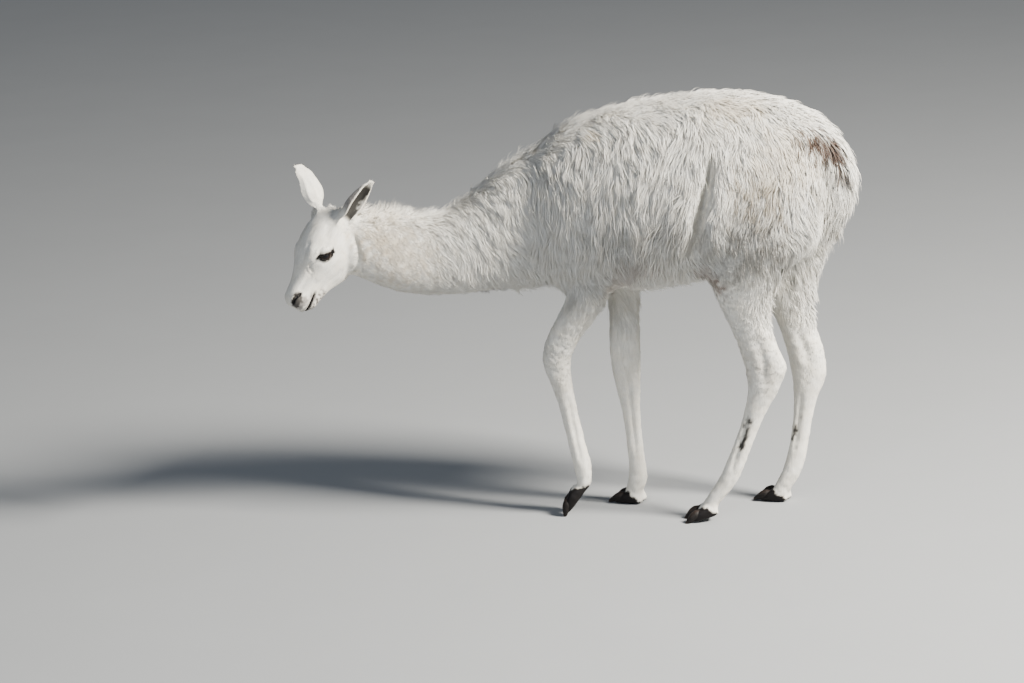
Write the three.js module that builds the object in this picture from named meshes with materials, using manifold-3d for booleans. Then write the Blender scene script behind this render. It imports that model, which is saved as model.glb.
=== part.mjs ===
// A life-size standing llama: a walking stance with the neck stretched forward and the head turned to the
// left and lowered. Millimetres, +Z up, floor at z = 0. The animal faces -X, so its left side is towards -Y.
// Every solid reaches out to the tips of the coat.
//
// Each piece is a loft: a table of stations, smoothed by a cubic spline, gives an oval section at every ring.
// Neighbouring pieces are parted with manifold-3d and keep a small gap.

import * as THREE from "three";
import { mergeVertices } from "three/addons/utils/BufferGeometryUtils.js";
import Module from "manifold-3d";

const wasm = await Module();
wasm.setup();

const { sin, cos, abs, sign, exp, max, min, PI } = Math;
const radians = THREE.MathUtils.degToRad;

// ---- Driving dimensions -------------------------------------------------------------------------------

const GAP = 0.4; // between neighbouring pieces
const CROWDING = 0.08; // how much closer together the rings lie towards a loft's ends
// Exponents of the oval sections: 2 is an ellipse, and a higher one is squarer.
const SQUARE = { trunk: 2.2, neck: 2.1, head: 2.25, leg: 2.15, toe: 2.3, nail: 2, tail: 2 };
const SIDES = { trunk: 26, neck: 20, head: 24, leg: 14, toe: 9, tail: 12, nail: 6 };
const RINGS = { trunk: 24, neck: 14, head: 21, leg: 22, toe: 6, tail: 10, nail: 4, ear: 9 };

// Trunk stations along X: [x, height of the back, height of the belly, half width].
const TRUNK = [
  [-455, 905, 745, 62],
  [-420, 1002, 672, 118],
  [-340, 1073, 622, 160],
  [-225, 1116, 618, 190],
  [-110, 1139, 622, 212],
  [0, 1154, 641, 220],
  [100, 1161, 673, 214],
  [205, 1150, 700, 196],
  [300, 1125, 715, 172],
  [352, 1100, 745, 142],
  [388, 1064, 815, 94],
  [402, 1000, 890, 40],
];
const BACK_NARROWING = 0.1; // how much narrower than its middle the barrel is at the back

// Neck stations along its curve: [x, y, z of the middle, half height above, below, half width].
const NECK = [
  [-250, 8, 868, 180, 190, 130],
  [-350, 4, 842, 188, 198, 132],
  [-450, -14, 804, 174, 193, 122],
  [-550, -42, 766, 138, 155, 106],
  [-640, -76, 740, 122, 129, 92],
  [-720, -112, 736, 128, 113, 80],
  [-790, -144, 752, 136, 96, 70],
  [-850, -166, 776, 125, 84, 60],
  [-900, -180, 804, 97, 76, 50],
];

// Head: in its own frame the poll is at the origin, the nose points along +X and the forehead along +Z.
const POLL = [-905, -172, 882];
const HEAD_TURN = 40; // degrees that the nose points to the animal's left of straight ahead
const HEAD_NOD = 55; // degrees that the nose points below the horizontal
const HEAD_TILT = 4; // degrees that the crown leans to the animal's left
// Head stations along its length: [x, forehead height, jaw height, half width, narrowing of the jaw].
const HEAD = [
  [-10, -10, -36, 16, 0.0],
  [4, 16, -52, 40, 0.05],
  [30, 40, -70, 58, 0.1],
  [65, 53, -90, 66, 0.16],
  [100, 57, -104, 69, 0.24],
  [130, 55, -113, 67, 0.3],
  [155, 49, -115, 62, 0.34],
  [175, 42, -106, 55, 0.34],
  [195, 34, -91, 48, 0.28],
  [217, 27, -80, 42, 0.2],
  [240, 23, -73, 38, 0.14],
  [265, 22, -67, 36, 0.1],
  [281, 16, -61, 31, 0.06],
  [292, 3, -48, 20, 0.0],
];
const EYE_LINE = 0.56; // height of the widest level, as a share of the head's depth
// Swellings of the head: [x, angle above the side in degrees, height, length, spread in degrees].
const SWELLINGS = [
  [152, 38, 14, 27, 22], // brow, above the eye
  [118, -26, 4, 34, 26], // cheek muscle
  [268, 22, 4, 16, 22], // wing of the nostril
  [258, -24, 3, 20, 24], // upper lip
];
const EYE = { x: 131, side: 58, height: 2, radius: 18 };
const EAR = { length: 144, width: 28, wall: 7, spread: 74 };
// Each ear's root, which way it points and where it opens, as [forward, outward, upward] in the head's frame,
// and how far its middle bows back from a straight line, as a share of its length.
const EARS = {
  left: { root: [38, 46, 2], aim: [-0.92, 0.38, -0.02], open: [0.2, 0.95, -0.3], bow: 0.05 },
  right: { root: [39, 40, 28], aim: [-0.63, 0.46, 0.62], open: [0.42, -0.08, 0.9], bow: 0.125 },
};

// Leg stations down from the top: [z, x, y of the middle, half depth, half width].
const LEFT_FORE = [
  [760, -215, -88, 96, 44],
  [690, -232, -90, 90, 54],
  [630, -252, -86, 71, 55],
  [560, -294, -80, 60, 47],
  [500, -336, -74, 50, 40],
  [445, -360, -70, 42, 37],
  [400, -357, -67, 36, 35],
  [355, -346, -64, 28, 28],
  [250, -327, -58, 25, 25],
  [175, -313, -55, 25, 26],
  [140, -307, -50, 27, 29],
  [100, -303, -46, 21, 26],
  [72, -308, -43, 20, 25],
];
const RIGHT_FORE = [
  [760, -205, 88, 86, 44],
  [690, -205, 92, 78, 54],
  [620, -199, 90, 58, 54],
  [540, -197, 84, 48, 45],
  [450, -199, 78, 45, 39],
  [390, -198, 74, 44, 38],
  [335, -194, 70, 37, 34],
  [250, -187, 66, 26, 26],
  [160, -181, 63, 24, 25],
  [100, -176, 62, 25, 28],
  [68, -176, 62, 28, 30],
  [40, -186, 62, 26, 29],
  [18, -195, 62, 18, 24],
];
const LEFT_HIND = [
  [1030, 235, -78, 120, 62],
  [960, 222, -92, 165, 92],
  [850, 208, -100, 186, 106],
  [770, 192, -104, 170, 100],
  [710, 166, -104, 130, 84],
  [650, 156, -102, 92, 64],
  [590, 160, -100, 70, 50],
  [520, 177, -98, 57, 42],
  [455, 199, -96, 54, 37],
  [405, 216, -94, 64, 35],
  [355, 199, -93, 43, 32],
  [280, 167, -92, 31, 26],
  [190, 131, -91, 29, 25],
  [115, 98, -90, 30, 29],
  [78, 72, -89, 29, 29],
  [52, 52, -88, 26, 28],
  [32, 40, -88, 18, 24],
];
const RIGHT_HIND = [
  [1030, 240, 78, 120, 62],
  [960, 232, 92, 162, 92],
  [850, 228, 100, 182, 106],
  [770, 236, 104, 172, 98],
  [710, 232, 104, 140, 82],
  [650, 238, 104, 112, 64],
  [590, 243, 102, 84, 50],
  [520, 260, 101, 59, 42],
  [445, 281, 100, 50, 37],
  [374, 302, 99, 61, 34],
  [325, 291, 98, 41, 31],
  [250, 279, 96, 31, 26],
  [170, 265, 94, 28, 25],
  [105, 250, 93, 30, 28],
  [65, 232, 92, 29, 30],
  [38, 216, 92, 27, 29],
  [18, 206, 92, 20, 24],
];

// Feet: the heel's place on the floor, the turn of the toes outwards and the pitch of a raised heel.
const FEET = {
  left_fore: { heel: [-298, -42, 70], turn: 6, pitch: 52 },
  right_fore: { heel: [-160, 62, 0], turn: -12, pitch: 0 },
  left_hind: { heel: [68, -84, 18], turn: 12, pitch: 15 },
  right_hind: { heel: [234, 92, 0], turn: -13, pitch: 0 },
};
const TOES = [
  { toe: "inner", hand: -1 },
  { toe: "outer", hand: 1 },
];
const TOE_SPREAD = 5.5; // degrees that each toe points away from the other
const TOE_APART = 15; // from the foot's middle to each toe's, at the heel
const SOLE_LEVEL = 0.39; // height of a toe's widest level, as a share of its height; the sole cuts it flat
// Toe stations from the heel: [distance, height, half width].
const TOE = [
  [0, 14, 10],
  [8, 30, 16],
  [28, 39, 18],
  [50, 36, 18],
  [68, 27, 16],
  [80, 17, 11],
  [85, 10, 6],
];
// Nail stations from the heel: [distance, height of the top, height of the underside, half width].
const NAIL = [
  [50, 36, 12, 9],
  [60, 35, 8, 13],
  [75, 28, 5, 12],
  [88, 17, 2.5, 8],
  [97, 8, 1.5, 3],
];

// Where the neck and the legs part from the trunk, as planes facing the piece cut off.
const NECK_BASE = { through: [-400, 0, 850], facing: [-0.985, 0, 0.17] };
const LEG_TOPS = {
  fore: { through: [-250, 0, 645], facing: [0.1, 0, -1] },
  hind: { through: [60, 0, 700], facing: [0.282, 0, -0.959] },
};

// Tail stations along its curve: [x, z of the middle, half depth, half width].
const TAIL = [
  [356, 1062, 27, 42],
  [388, 1025, 32, 50],
  [415, 976, 37, 54],
  [427, 912, 37, 54],
  [416, 850, 32, 48],
  [400, 795, 22, 34],
  [386, 762, 9, 14],
];

const LOOKS = {
  coat: { color: 0xe9e5da, roughness: 0.95 },
  face: { color: 0xe6e3dc, roughness: 0.9 },
  ear: { color: 0xd9d4cb, roughness: 0.9 },
  tail: { color: 0xd8cfc2, roughness: 0.95 },
  eye: { color: 0x120d0a, roughness: 0.08 },
  nail: { color: 0x2b211c, roughness: 0.45 },
};

// ---- Lofts ----------------------------------------------------------------------------------------------

// The row of a station table at key t, smoothed by a cubic Hermite spline through its columns.
function sample(rows, t) {
  const last = rows.length - 1;
  let i = 0;
  while (i < last - 1 && t > rows[i + 1][0]) i += 1;
  const span = rows[i + 1][0] - rows[i][0];
  const u = (t - rows[i][0]) / span;
  const slope = (k, column) => {
    const a = rows[max(k - 1, 0)];
    const b = rows[min(k + 1, last)];
    return (b[column] - a[column]) / (b[0] - a[0]);
  };
  return rows[i].slice(1).map((value, k) => {
    const column = k + 1;
    const rise = rows[i + 1][column] - value;
    const m0 = slope(i, column) * span;
    const m1 = slope(i + 1, column) * span;
    return value + u * (m0 + u * (3 * rise - 2 * m0 - m1 + u * (m0 + m1 - 2 * rise)));
  });
}

// Stations whose key is the distance run along their own middle line, for pieces that follow a curve.
function alongPath(rows, dimensions) {
  let run = 0;
  return rows.map((row, i) => {
    if (i > 0) {
      const step = row.slice(0, dimensions).map((v, k) => v - rows[i - 1][k]);
      run += Math.hypot(...step);
    }
    return [run, ...row];
  });
}

// A point of an oval section: angle 0 is its right side and 90 degrees its top.
function oval(angle, half, up, down, square) {
  const c = cos(angle);
  const s = sin(angle);
  const power = 2 / square;
  return [half * sign(c) * abs(c) ** power, (s > 0 ? up : down) * sign(s) * abs(s) ** power];
}

// A closed skin over rings of points, each drawn by point(t, angle), with a fan over both ends. The rings
// crowd towards both ends, where the piece rounds off.
function loft(from, to, rings, sides, point) {
  const positions = [];
  for (let i = 0; i < rings; i += 1) {
    const u = i / (rings - 1);
    const t = from + (to - from) * (u - CROWDING * sin(2 * PI * u));
    for (let k = 0; k < sides; k += 1) positions.push(...point(t, (2 * PI * k) / sides));
  }
  const index = [];
  for (let i = 0; i < rings - 1; i += 1) {
    for (let k = 0; k < sides; k += 1) {
      const a = i * sides + k;
      const b = i * sides + ((k + 1) % sides);
      index.push(a, b, a + sides, b, b + sides, a + sides);
    }
  }
  for (const [ring, flip] of [[0, false], [rings - 1, true]]) {
    const centre = positions.length / 3;
    const middle = [0, 0, 0];
    for (let k = 0; k < sides; k += 1) {
      for (let axis = 0; axis < 3; axis += 1) {
        middle[axis] += positions[(ring * sides + k) * 3 + axis] / sides;
      }
    }
    positions.push(...middle);
    for (let k = 0; k < sides; k += 1) {
      const a = ring * sides + k;
      const b = ring * sides + ((k + 1) % sides);
      index.push(...(flip ? [a, b, centre] : [b, a, centre]));
    }
  }
  const geometry = new THREE.BufferGeometry();
  geometry.setAttribute("position", new THREE.Float32BufferAttribute(positions, 3));
  geometry.setIndex(index);
  return geometry;
}

// ---- Solids ---------------------------------------------------------------------------------------------

// A geometry as a manifold solid, turned inside out if its faces point inwards.
function solid(geometry) {
  const bare = new THREE.BufferGeometry();
  bare.setAttribute("position", geometry.getAttribute("position").clone());
  bare.setIndex(geometry.getIndex());
  const merged = mergeVertices(bare, 1e-3);
  const build = (triVerts) =>
    new wasm.Manifold(
      new wasm.Mesh({ numProp: 3, vertProperties: merged.attributes.position.array, triVerts }),
    );
  const triVerts = new Uint32Array(merged.index.array);
  const made = build(triVerts);
  return made.volume() > 0 ? made : build(triVerts.reverse());
}

// A manifold solid's largest body as a geometry.
function geometryOf(made) {
  const bodies = made.decompose();
  bodies.sort((a, b) => b.volume() - a.volume());
  const mesh = bodies[0].getMesh();
  const geometry = new THREE.BufferGeometry();
  const positions = new Float32Array(mesh.numVert * 3);
  for (let i = 0; i < mesh.numVert; i += 1) {
    positions.set(mesh.vertProperties.subarray(i * mesh.numProp, i * mesh.numProp + 3), i * 3);
  }
  geometry.setAttribute("position", new THREE.BufferAttribute(positions, 3));
  geometry.setIndex(new THREE.BufferAttribute(new Uint32Array(mesh.triVerts), 1));
  geometry.computeVertexNormals();
  return geometry;
}

const moved = (made, matrix) => made.transform(matrix.elements);
const join = (solids) => solids.reduce((a, b) => a.add(b));
const cut = (made, ...tools) => tools.reduce((a, b) => a.subtract(b), made);

// Everything on one side of a plane, moved off it by a gap.
function beyond({ through, facing }, hand = 1, gap = 0) {
  const size = 4000;
  const room = new THREE.BoxGeometry(size, size, size);
  const normal = new THREE.Vector3(...facing).multiplyScalar(hand).normalize();
  room.translate(0, 0, size / 2 + gap);
  room.applyQuaternion(new THREE.Quaternion().setFromUnitVectors(new THREE.Vector3(0, 0, 1), normal));
  room.translate(...through);
  return solid(room);
}

// ---- The pieces -----------------------------------------------------------------------------------------

// The barrel, from the breast to the rump; grow widens it by a gap.
function trunk(grow = 0) {
  return solid(
    loft(TRUNK[0][0] - grow, TRUNK.at(-1)[0] + grow, RINGS.trunk, SIDES.trunk, (x, angle) => {
      const [back, belly, half] = sample(TRUNK, x);
      const middle = (back + belly) / 2;
      const high = (back - belly) / 2 + grow;
      const [y, z] = oval(angle, half + grow, high, high, SQUARE.trunk);
      return [x, y * (1 - (BACK_NARROWING * z) / high), middle + z];
    }),
  );
}

// The neck, square to its own curve.
function neck() {
  const rows = alongPath(NECK, 3);
  return solid(
    loft(0, rows.at(-1)[0], RINGS.neck, SIDES.neck, (t, angle) => {
      const [x, y, z, up, down, half] = sample(rows, t);
      const ahead = sample(rows, t + 2);
      const along = new THREE.Vector3(ahead[0] - x, ahead[1] - y, ahead[2] - z).normalize();
      const side = new THREE.Vector3(0, 0, 1).cross(along).normalize();
      const above = along.clone().cross(side);
      const [a, b] = oval(angle, half, up, down, SQUARE.neck);
      const p = new THREE.Vector3(x, y, z).addScaledVector(side, a).addScaledVector(above, b);
      return p.toArray();
    }),
  );
}

// How far a swelling pushes the head's surface out at a station and an angle.
function swell(x, angle) {
  const above = Math.atan2(sin(angle), abs(cos(angle)));
  return SWELLINGS.reduce((sum, [at, aim, height, length, spread]) => {
    const dx = (x - at) / length;
    const da = (above - radians(aim)) / radians(spread);
    return sum + height * exp(-dx * dx - da * da);
  }, 0);
}

// The skull's outline with jaw, brows and muzzle, in the head's own frame; grow widens it by a gap.
function skull(grow = 0) {
  return solid(
    loft(HEAD[0][0], HEAD.at(-1)[0], RINGS.head, SIDES.head, (x, angle) => {
      const [brow, jaw, half, narrow] = sample(HEAD, x);
      const level = jaw + (brow - jaw) * EYE_LINE;
      const [y, z] = oval(angle, half, brow - level, level - jaw, SQUARE.head);
      const below = max(0, -z / (level - jaw));
      const reach = Math.hypot(y, z) || 1;
      const out = 1 + (swell(x, angle) + grow) / reach;
      return [x, y * (1 - narrow * below) * out, level + z * out];
    }),
  );
}

// One ear, a leaf curled round its length, with its root on the head.
function ear(side) {
  const { root, aim, open, bow } = EARS[side];
  const outward = side === "left" ? 1 : -1;
  const point = (v) => new THREE.Vector3(v[0], v[1] * outward, v[2]).normalize();
  const up = point(aim);
  const front = point(open);
  front.addScaledVector(up, -front.dot(up)).normalize();
  const across = up.clone().cross(front);
  const base = new THREE.Vector3(root[0], root[1] * outward, root[2]);
  const arc = 6;
  return solid(
    loft(0, 1, RINGS.ear, arc * 2, (t, angle) => {
      const step = Math.round((angle / (2 * PI)) * arc * 2);
      const outer = step < arc;
      const share = outer ? step / (arc - 1) : (2 * arc - 1 - step) / (arc - 1);
      const width = EAR.width * (0.78 + 0.95 * t * (1 - t)) * max(1 - t ** 5, 0.36);
      const wall = EAR.wall * (1 - 0.55 * t);
      const curl = radians(EAR.spread + 40 * (1 - t)) * (share * 2 - 1);
      const radius = outer ? width : width - wall;
      const bend = -EAR.length * bow * 4 * t * (1 - t);
      return base
        .clone()
        .addScaledVector(up, EAR.length * t)
        .addScaledVector(front, width * 0.5 - radius * cos(curl) + bend)
        .addScaledVector(across, radius * sin(curl))
        .toArray();
    }),
  );
}

function eyeball(side, grow = 0) {
  const ball = new THREE.SphereGeometry(EYE.radius + grow, 12, 8);
  ball.translate(EYE.x, EYE.side * side, EYE.height);
  return solid(ball);
}

// A leg from the body down to the pastern, with level sections, without its foot.
function shank(rows) {
  const keyed = rows.map(([z, ...rest]) => [-z, ...rest]);
  return solid(
    loft(keyed[0][0], keyed.at(-1)[0], RINGS.leg, SIDES.leg, (t, angle) => {
      const [x, y, depth, half] = sample(keyed, t);
      const [a, b] = oval(angle, depth, half, half, SQUARE.leg);
      return [x + a, y + b, -t];
    }),
  );
}

// The frame of one toe: its heel on the floor, +X forwards along the toe, mirrored for the inner toe.
function toeMatrix({ heel, turn, pitch }, hand) {
  return new THREE.Matrix4()
    .makeTranslation(...heel)
    .multiply(new THREE.Matrix4().makeRotationZ(PI + radians(turn)))
    .multiply(new THREE.Matrix4().makeRotationY(radians(pitch)))
    .multiply(new THREE.Matrix4().makeTranslation(0, TOE_APART * hand, 0))
    .multiply(new THREE.Matrix4().makeRotationZ(radians(TOE_SPREAD * hand)));
}

// A toe's pad: a low dome on a flat sole.
function pad(foot, hand) {
  const made = solid(
    loft(TOE[0][0], TOE.at(-1)[0], RINGS.toe, SIDES.toe, (x, angle) => {
      const [height, half] = sample(TOE, x);
      const [y, z] = oval(angle, half, height * (1 - SOLE_LEVEL), height * (1 - SOLE_LEVEL), SQUARE.toe);
      return [x, y, max(height * SOLE_LEVEL + z, 0)];
    }),
  );
  return moved(made, toeMatrix(foot, hand));
}

// A toe's nail: a claw that tapers to a blunt tip; grow widens it by a gap.
function nail(foot, hand, grow = 0) {
  const made = solid(
    loft(NAIL[0][0], NAIL.at(-1)[0], RINGS.nail, SIDES.nail, (x, angle) => {
      const [top, under, half] = sample(NAIL, x);
      const high = (top - under) / 2 + grow;
      const [y, z] = oval(angle, half + grow, high, high, SQUARE.nail);
      return [x, y, (top + under) / 2 + z];
    }),
  );
  return moved(made, toeMatrix(foot, hand));
}

// The tail, a hanging brush.
function tail() {
  const rows = alongPath(TAIL, 2);
  return solid(
    loft(0, rows.at(-1)[0], RINGS.tail, SIDES.tail, (t, angle) => {
      const [x, z, depth, half] = sample(rows, t);
      const ahead = sample(rows, t + 2);
      const along = new THREE.Vector2(ahead[0] - x, ahead[1] - z).normalize();
      const [a, b] = oval(angle, half, depth, depth, SQUARE.tail);
      return [x - along.y * b, a, z + along.x * b];
    }),
  );
}

// ---- Assembly -------------------------------------------------------------------------------------------

const llama = new THREE.Group();

function add(group, name, made, look) {
  const material = new THREE.MeshStandardMaterial({ metalness: 0, ...LOOKS[look] });
  const mesh = new THREE.Mesh(geometryOf(made), material);
  mesh.name = name;
  group.add(mesh);
}

const headGroup = new THREE.Group();
headGroup.position.set(...POLL);
headGroup.rotation.set(radians(HEAD_TILT), radians(HEAD_NOD), PI + radians(HEAD_TURN), "ZYX");
headGroup.updateMatrix();
llama.add(headGroup);

const LEGS = { left_fore: LEFT_FORE, right_fore: RIGHT_FORE, left_hind: LEFT_HIND, right_hind: RIGHT_HIND };
const aboveFloor = beyond({ through: [0, 0, 0], facing: [0, 0, 1] });
const flesh = {};
for (const [name, rows] of Object.entries(LEGS)) {
  const pads = TOES.map(({ hand }) => pad(FEET[name], hand));
  flesh[name] = join([shank(rows), ...pads]).intersect(aboveFloor);
}

const barrel = trunk();
const barrelHole = trunk(GAP);
const headHole = moved(skull(GAP), headGroup.matrix);
const neckLoft = neck();
const legTop = (name) => LEG_TOPS[name.split("_")[1]];
const shoulders = Object.keys(LEGS).map((name) => flesh[name].intersect(beyond(legTop(name), -1)));
const body = join([barrel, neckLoft, ...shoulders]);

add(llama, "trunk", body.intersect(beyond(NECK_BASE, -1)), "coat");
add(llama, "neck", cut(body.intersect(beyond(NECK_BASE, 1, GAP)), headHole), "coat");

const ears = { left: ear("left"), right: ear("right") };
const sockets = [eyeball(1, GAP), eyeball(-1, GAP)];
const skullHole = skull(GAP);
add(headGroup, "head", cut(skull(), ...sockets), "face");
add(headGroup, "eye_left", eyeball(1), "eye");
add(headGroup, "eye_right", eyeball(-1), "eye");
add(headGroup, "ear_left", cut(ears.left, skullHole), "ear");
add(headGroup, "ear_right", cut(ears.right, skullHole), "ear");

for (const name of Object.keys(LEGS)) {
  const below = flesh[name].intersect(beyond(legTop(name), 1, GAP));
  const holes = TOES.map(({ hand }) => nail(FEET[name], hand, GAP));
  add(llama, `leg_${name}`, cut(below, barrelHole, ...holes), "coat");
  for (const { toe, hand } of TOES) {
    add(llama, `nail_${name}_${toe}`, nail(FEET[name], hand).intersect(aboveFloor), "nail");
  }
}

add(llama, "tail", cut(tail(), barrelHole), "tail");

// The origin is on the floor under the middle of the whole animal.
const bounds = new THREE.Box3().setFromObject(llama, true);
const middle = bounds.getCenter(new THREE.Vector3());
llama.position.set(-middle.x, -middle.y, -bounds.min.z);

export default llama;
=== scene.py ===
"""A life-size standing llama: one skin with lids, lips and tendons, a coat of mesh tufts, eyes, nails.

Every shape is worked out in the body's own frame, in metres: the animal faces -X, its left side is
towards -Y, and the floor is z = 0. The head has a frame of its own: nose +X, the animal's left +Y,
forehead +Z, with the poll at its origin.
"""

import math

import bpy
import numpy as np
from mathutils import Matrix, Vector


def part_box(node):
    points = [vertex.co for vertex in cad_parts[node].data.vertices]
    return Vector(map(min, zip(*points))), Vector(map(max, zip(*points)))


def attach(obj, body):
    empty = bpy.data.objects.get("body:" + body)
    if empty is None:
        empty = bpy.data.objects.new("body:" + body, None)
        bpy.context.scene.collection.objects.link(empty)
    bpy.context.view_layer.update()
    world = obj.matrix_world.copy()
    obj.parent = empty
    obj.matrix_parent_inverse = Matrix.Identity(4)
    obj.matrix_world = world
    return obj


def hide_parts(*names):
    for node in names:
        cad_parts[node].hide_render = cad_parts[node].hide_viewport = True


bl_info = {
    "name": "Standing llama",
    "version": (1, 0, 0),
    "blender": (4, 5, 0),
    "location": "3D View > Sidebar > Llama",
    "description": "Makes the skin, coat, eyes and nails of a life-size standing llama",
    "category": "Object",
}

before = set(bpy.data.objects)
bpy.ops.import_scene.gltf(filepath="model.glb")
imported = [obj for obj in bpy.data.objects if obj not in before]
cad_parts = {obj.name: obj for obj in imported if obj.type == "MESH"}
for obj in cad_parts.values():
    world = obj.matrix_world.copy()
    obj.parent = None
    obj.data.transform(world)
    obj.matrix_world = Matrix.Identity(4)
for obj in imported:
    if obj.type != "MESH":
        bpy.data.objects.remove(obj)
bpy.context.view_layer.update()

MM = 0.001
FLESH = (
    "trunk", "neck", "head", "ear_left", "ear_right", "tail",
    "leg_left_fore", "leg_right_fore", "leg_left_hind", "leg_right_hind",
)
EYES = ("eye_left", "eye_right")
NAILS = tuple(
    f"nail_{side}_{end}_{toe}"
    for side in ("left", "right") for end in ("fore", "hind") for toe in ("inner", "outer")
)

# ---- Small tools ---------------------------------------------------------------------------------


def unit(vectors):
    """Vectors scaled to length one."""
    return vectors / np.maximum(np.linalg.norm(vectors, axis=-1, keepdims=True), 1e-12)


def ramp(values, low, high):
    """0 up to low, 1 from high, and a smooth cubic between; low may be the larger of the two."""
    t = np.clip((values - low) / (high - low), 0, 1)
    return t * t * (3 - 2 * t)


def turned(axis, degrees):
    """The matrix of a turn about X, Y or Z, for axis 0, 1 or 2."""
    a, b = (axis + 1) % 3, (axis + 2) % 3
    c, s = math.cos(math.radians(degrees)), math.sin(math.radians(degrees))
    matrix = np.eye(3)
    matrix[a, a] = matrix[b, b] = c
    matrix[b, a], matrix[a, b] = s, -s
    return matrix


def ripple(points, size, seed):
    """Soft noise of mean 0 and deviation 1, the same again for the same seed.

    It is a sum of plane waves in random directions, each about one size long.
    """
    waves = 14
    rng = np.random.default_rng(seed)
    tilt = unit(rng.normal(size=(waves, 3))) * rng.uniform(0.6, 1.6, (waves, 1))
    phase = rng.uniform(0, 2 * math.pi, waves)
    return np.sin(points @ tilt.T * (2 * math.pi / size) + phase).sum(1) * math.sqrt(2 / waves)


def mirrored(points):
    """The points, with those on the negative Y side carried over to the positive one."""
    return np.column_stack([points[:, 0], np.abs(points[:, 1]), points[:, 2]])


def to_line(points, line):
    """Each point's distance to a broken line, and how far along it the nearest place is, from 0 to 1."""
    line = np.asarray(line, float)
    best = np.full(len(points), np.inf)
    share = np.zeros(len(points))
    for i, (a, b) in enumerate(zip(line[:-1], line[1:])):
        t = np.clip((points - a) @ (b - a) / ((b - a) @ (b - a)), 0, 1)
        away = np.linalg.norm(points - a - t[:, None] * (b - a), axis=1)
        nearer = away < best
        best[nearer] = away[nearer]
        share[nearer] = (i + t[nearer]) / (len(line) - 1)
    return best, share


def spline(rows, keys):
    """A station table's columns at the keys, on cubic curves through its rows; column 0 is the key."""
    rows = np.asarray(rows, float)
    x, y = rows[:, 0], rows[:, 1:]
    slope = np.gradient(y, x, axis=0)
    i = np.clip(np.searchsorted(x, keys) - 1, 0, len(x) - 2)
    span = (x[i + 1] - x[i])[:, None]
    u = ((keys - x[i])[:, None]) / span
    rise = y[i + 1] - y[i]
    m0, m1 = slope[i] * span, slope[i + 1] * span
    return y[i] + u * (m0 + u * (3 * rise - 2 * m0 - m1 + u * (m0 + m1 - 2 * rise)))


def mesh_of(name, points, *groups):
    """A smooth-shaded mesh of points, with one array of face corners for each number of corners."""
    mesh = bpy.data.meshes.new(name)
    corners = np.concatenate([g.ravel() for g in groups]).astype(np.int32)
    sizes = np.concatenate([np.full(len(g), g.shape[1]) for g in groups])
    mesh.vertices.add(len(points))
    mesh.vertices.foreach_set("co", np.asarray(points, np.float32).ravel())
    mesh.loops.add(len(corners))
    mesh.loops.foreach_set("vertex_index", corners)
    mesh.polygons.add(len(sizes))
    mesh.polygons.foreach_set("loop_start", (np.cumsum(sizes) - sizes).astype(np.int32))
    mesh.polygons.foreach_set("use_smooth", np.ones(len(sizes), bool))
    mesh.update(calc_edges=True)
    return mesh


def show(name, mesh, material):
    """An object in the scene for a finished piece, which rides on the body."""
    piece = bpy.data.objects.new(name, mesh)
    bpy.context.scene.collection.objects.link(piece)
    piece.data.materials.append(material)
    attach(piece, "root")
    return piece


def keep(mesh, name, values):
    """Stores a number, or a vector, for each vertex under a name, for the materials."""
    values = np.asarray(values, np.float32)
    kind, field = ("FLOAT", "value") if values.ndim == 1 else ("FLOAT_VECTOR", "vector")
    layer = mesh.attributes.new(name, kind, "POINT")
    layer.data.foreach_set(field, values.ravel())


def read(data, field, width, kind=np.float32):
    """A property of every item of a Blender collection, as an array with a row for each item."""
    values = np.empty(len(data) * width, kind)
    data.foreach_get(field, values)
    return values.reshape(-1, width).astype(float if kind == np.float32 else np.int64)


# ---- The head's frame and the place of the body --------------------------------------------------

POLL = np.array([-905, -172, 882]) * MM
HEAD = turned(2, 220) @ turned(1, 55) @ turned(0, 4)
EYE = np.array([131, 58, 2]) * MM
EYE_RADIUS = 18 * MM


def from_head(places):
    """Places in the head's frame, brought into the body's."""
    return POLL + np.asarray(places, float) @ HEAD.T


def to_head(points):
    """Points of the body's frame, brought into the head's."""
    return (points - POLL) @ HEAD


SHIFT = np.mean([list(corner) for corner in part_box("eye_left")], axis=0) - from_head(EYE)

# The animal's midline, as seen from above: [x, y], in millimetres.
MIDLINE = [[-900, -180], [-850, -166], [-790, -144], [-720, -112], [-640, -76], [-550, -42], [-450, -14],
           [-350, 4], [-250, 8], [-150, 0]]


def midline(x):
    """How far to the side the middle of the neck or trunk lies at x, in metres."""
    rows = np.array(MIDLINE) * MM
    return np.interp(x, rows[:, 0], rows[:, 1])


# ---- Grooming: how the coat lies, is and stands, place by place ----------------------------------

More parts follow.
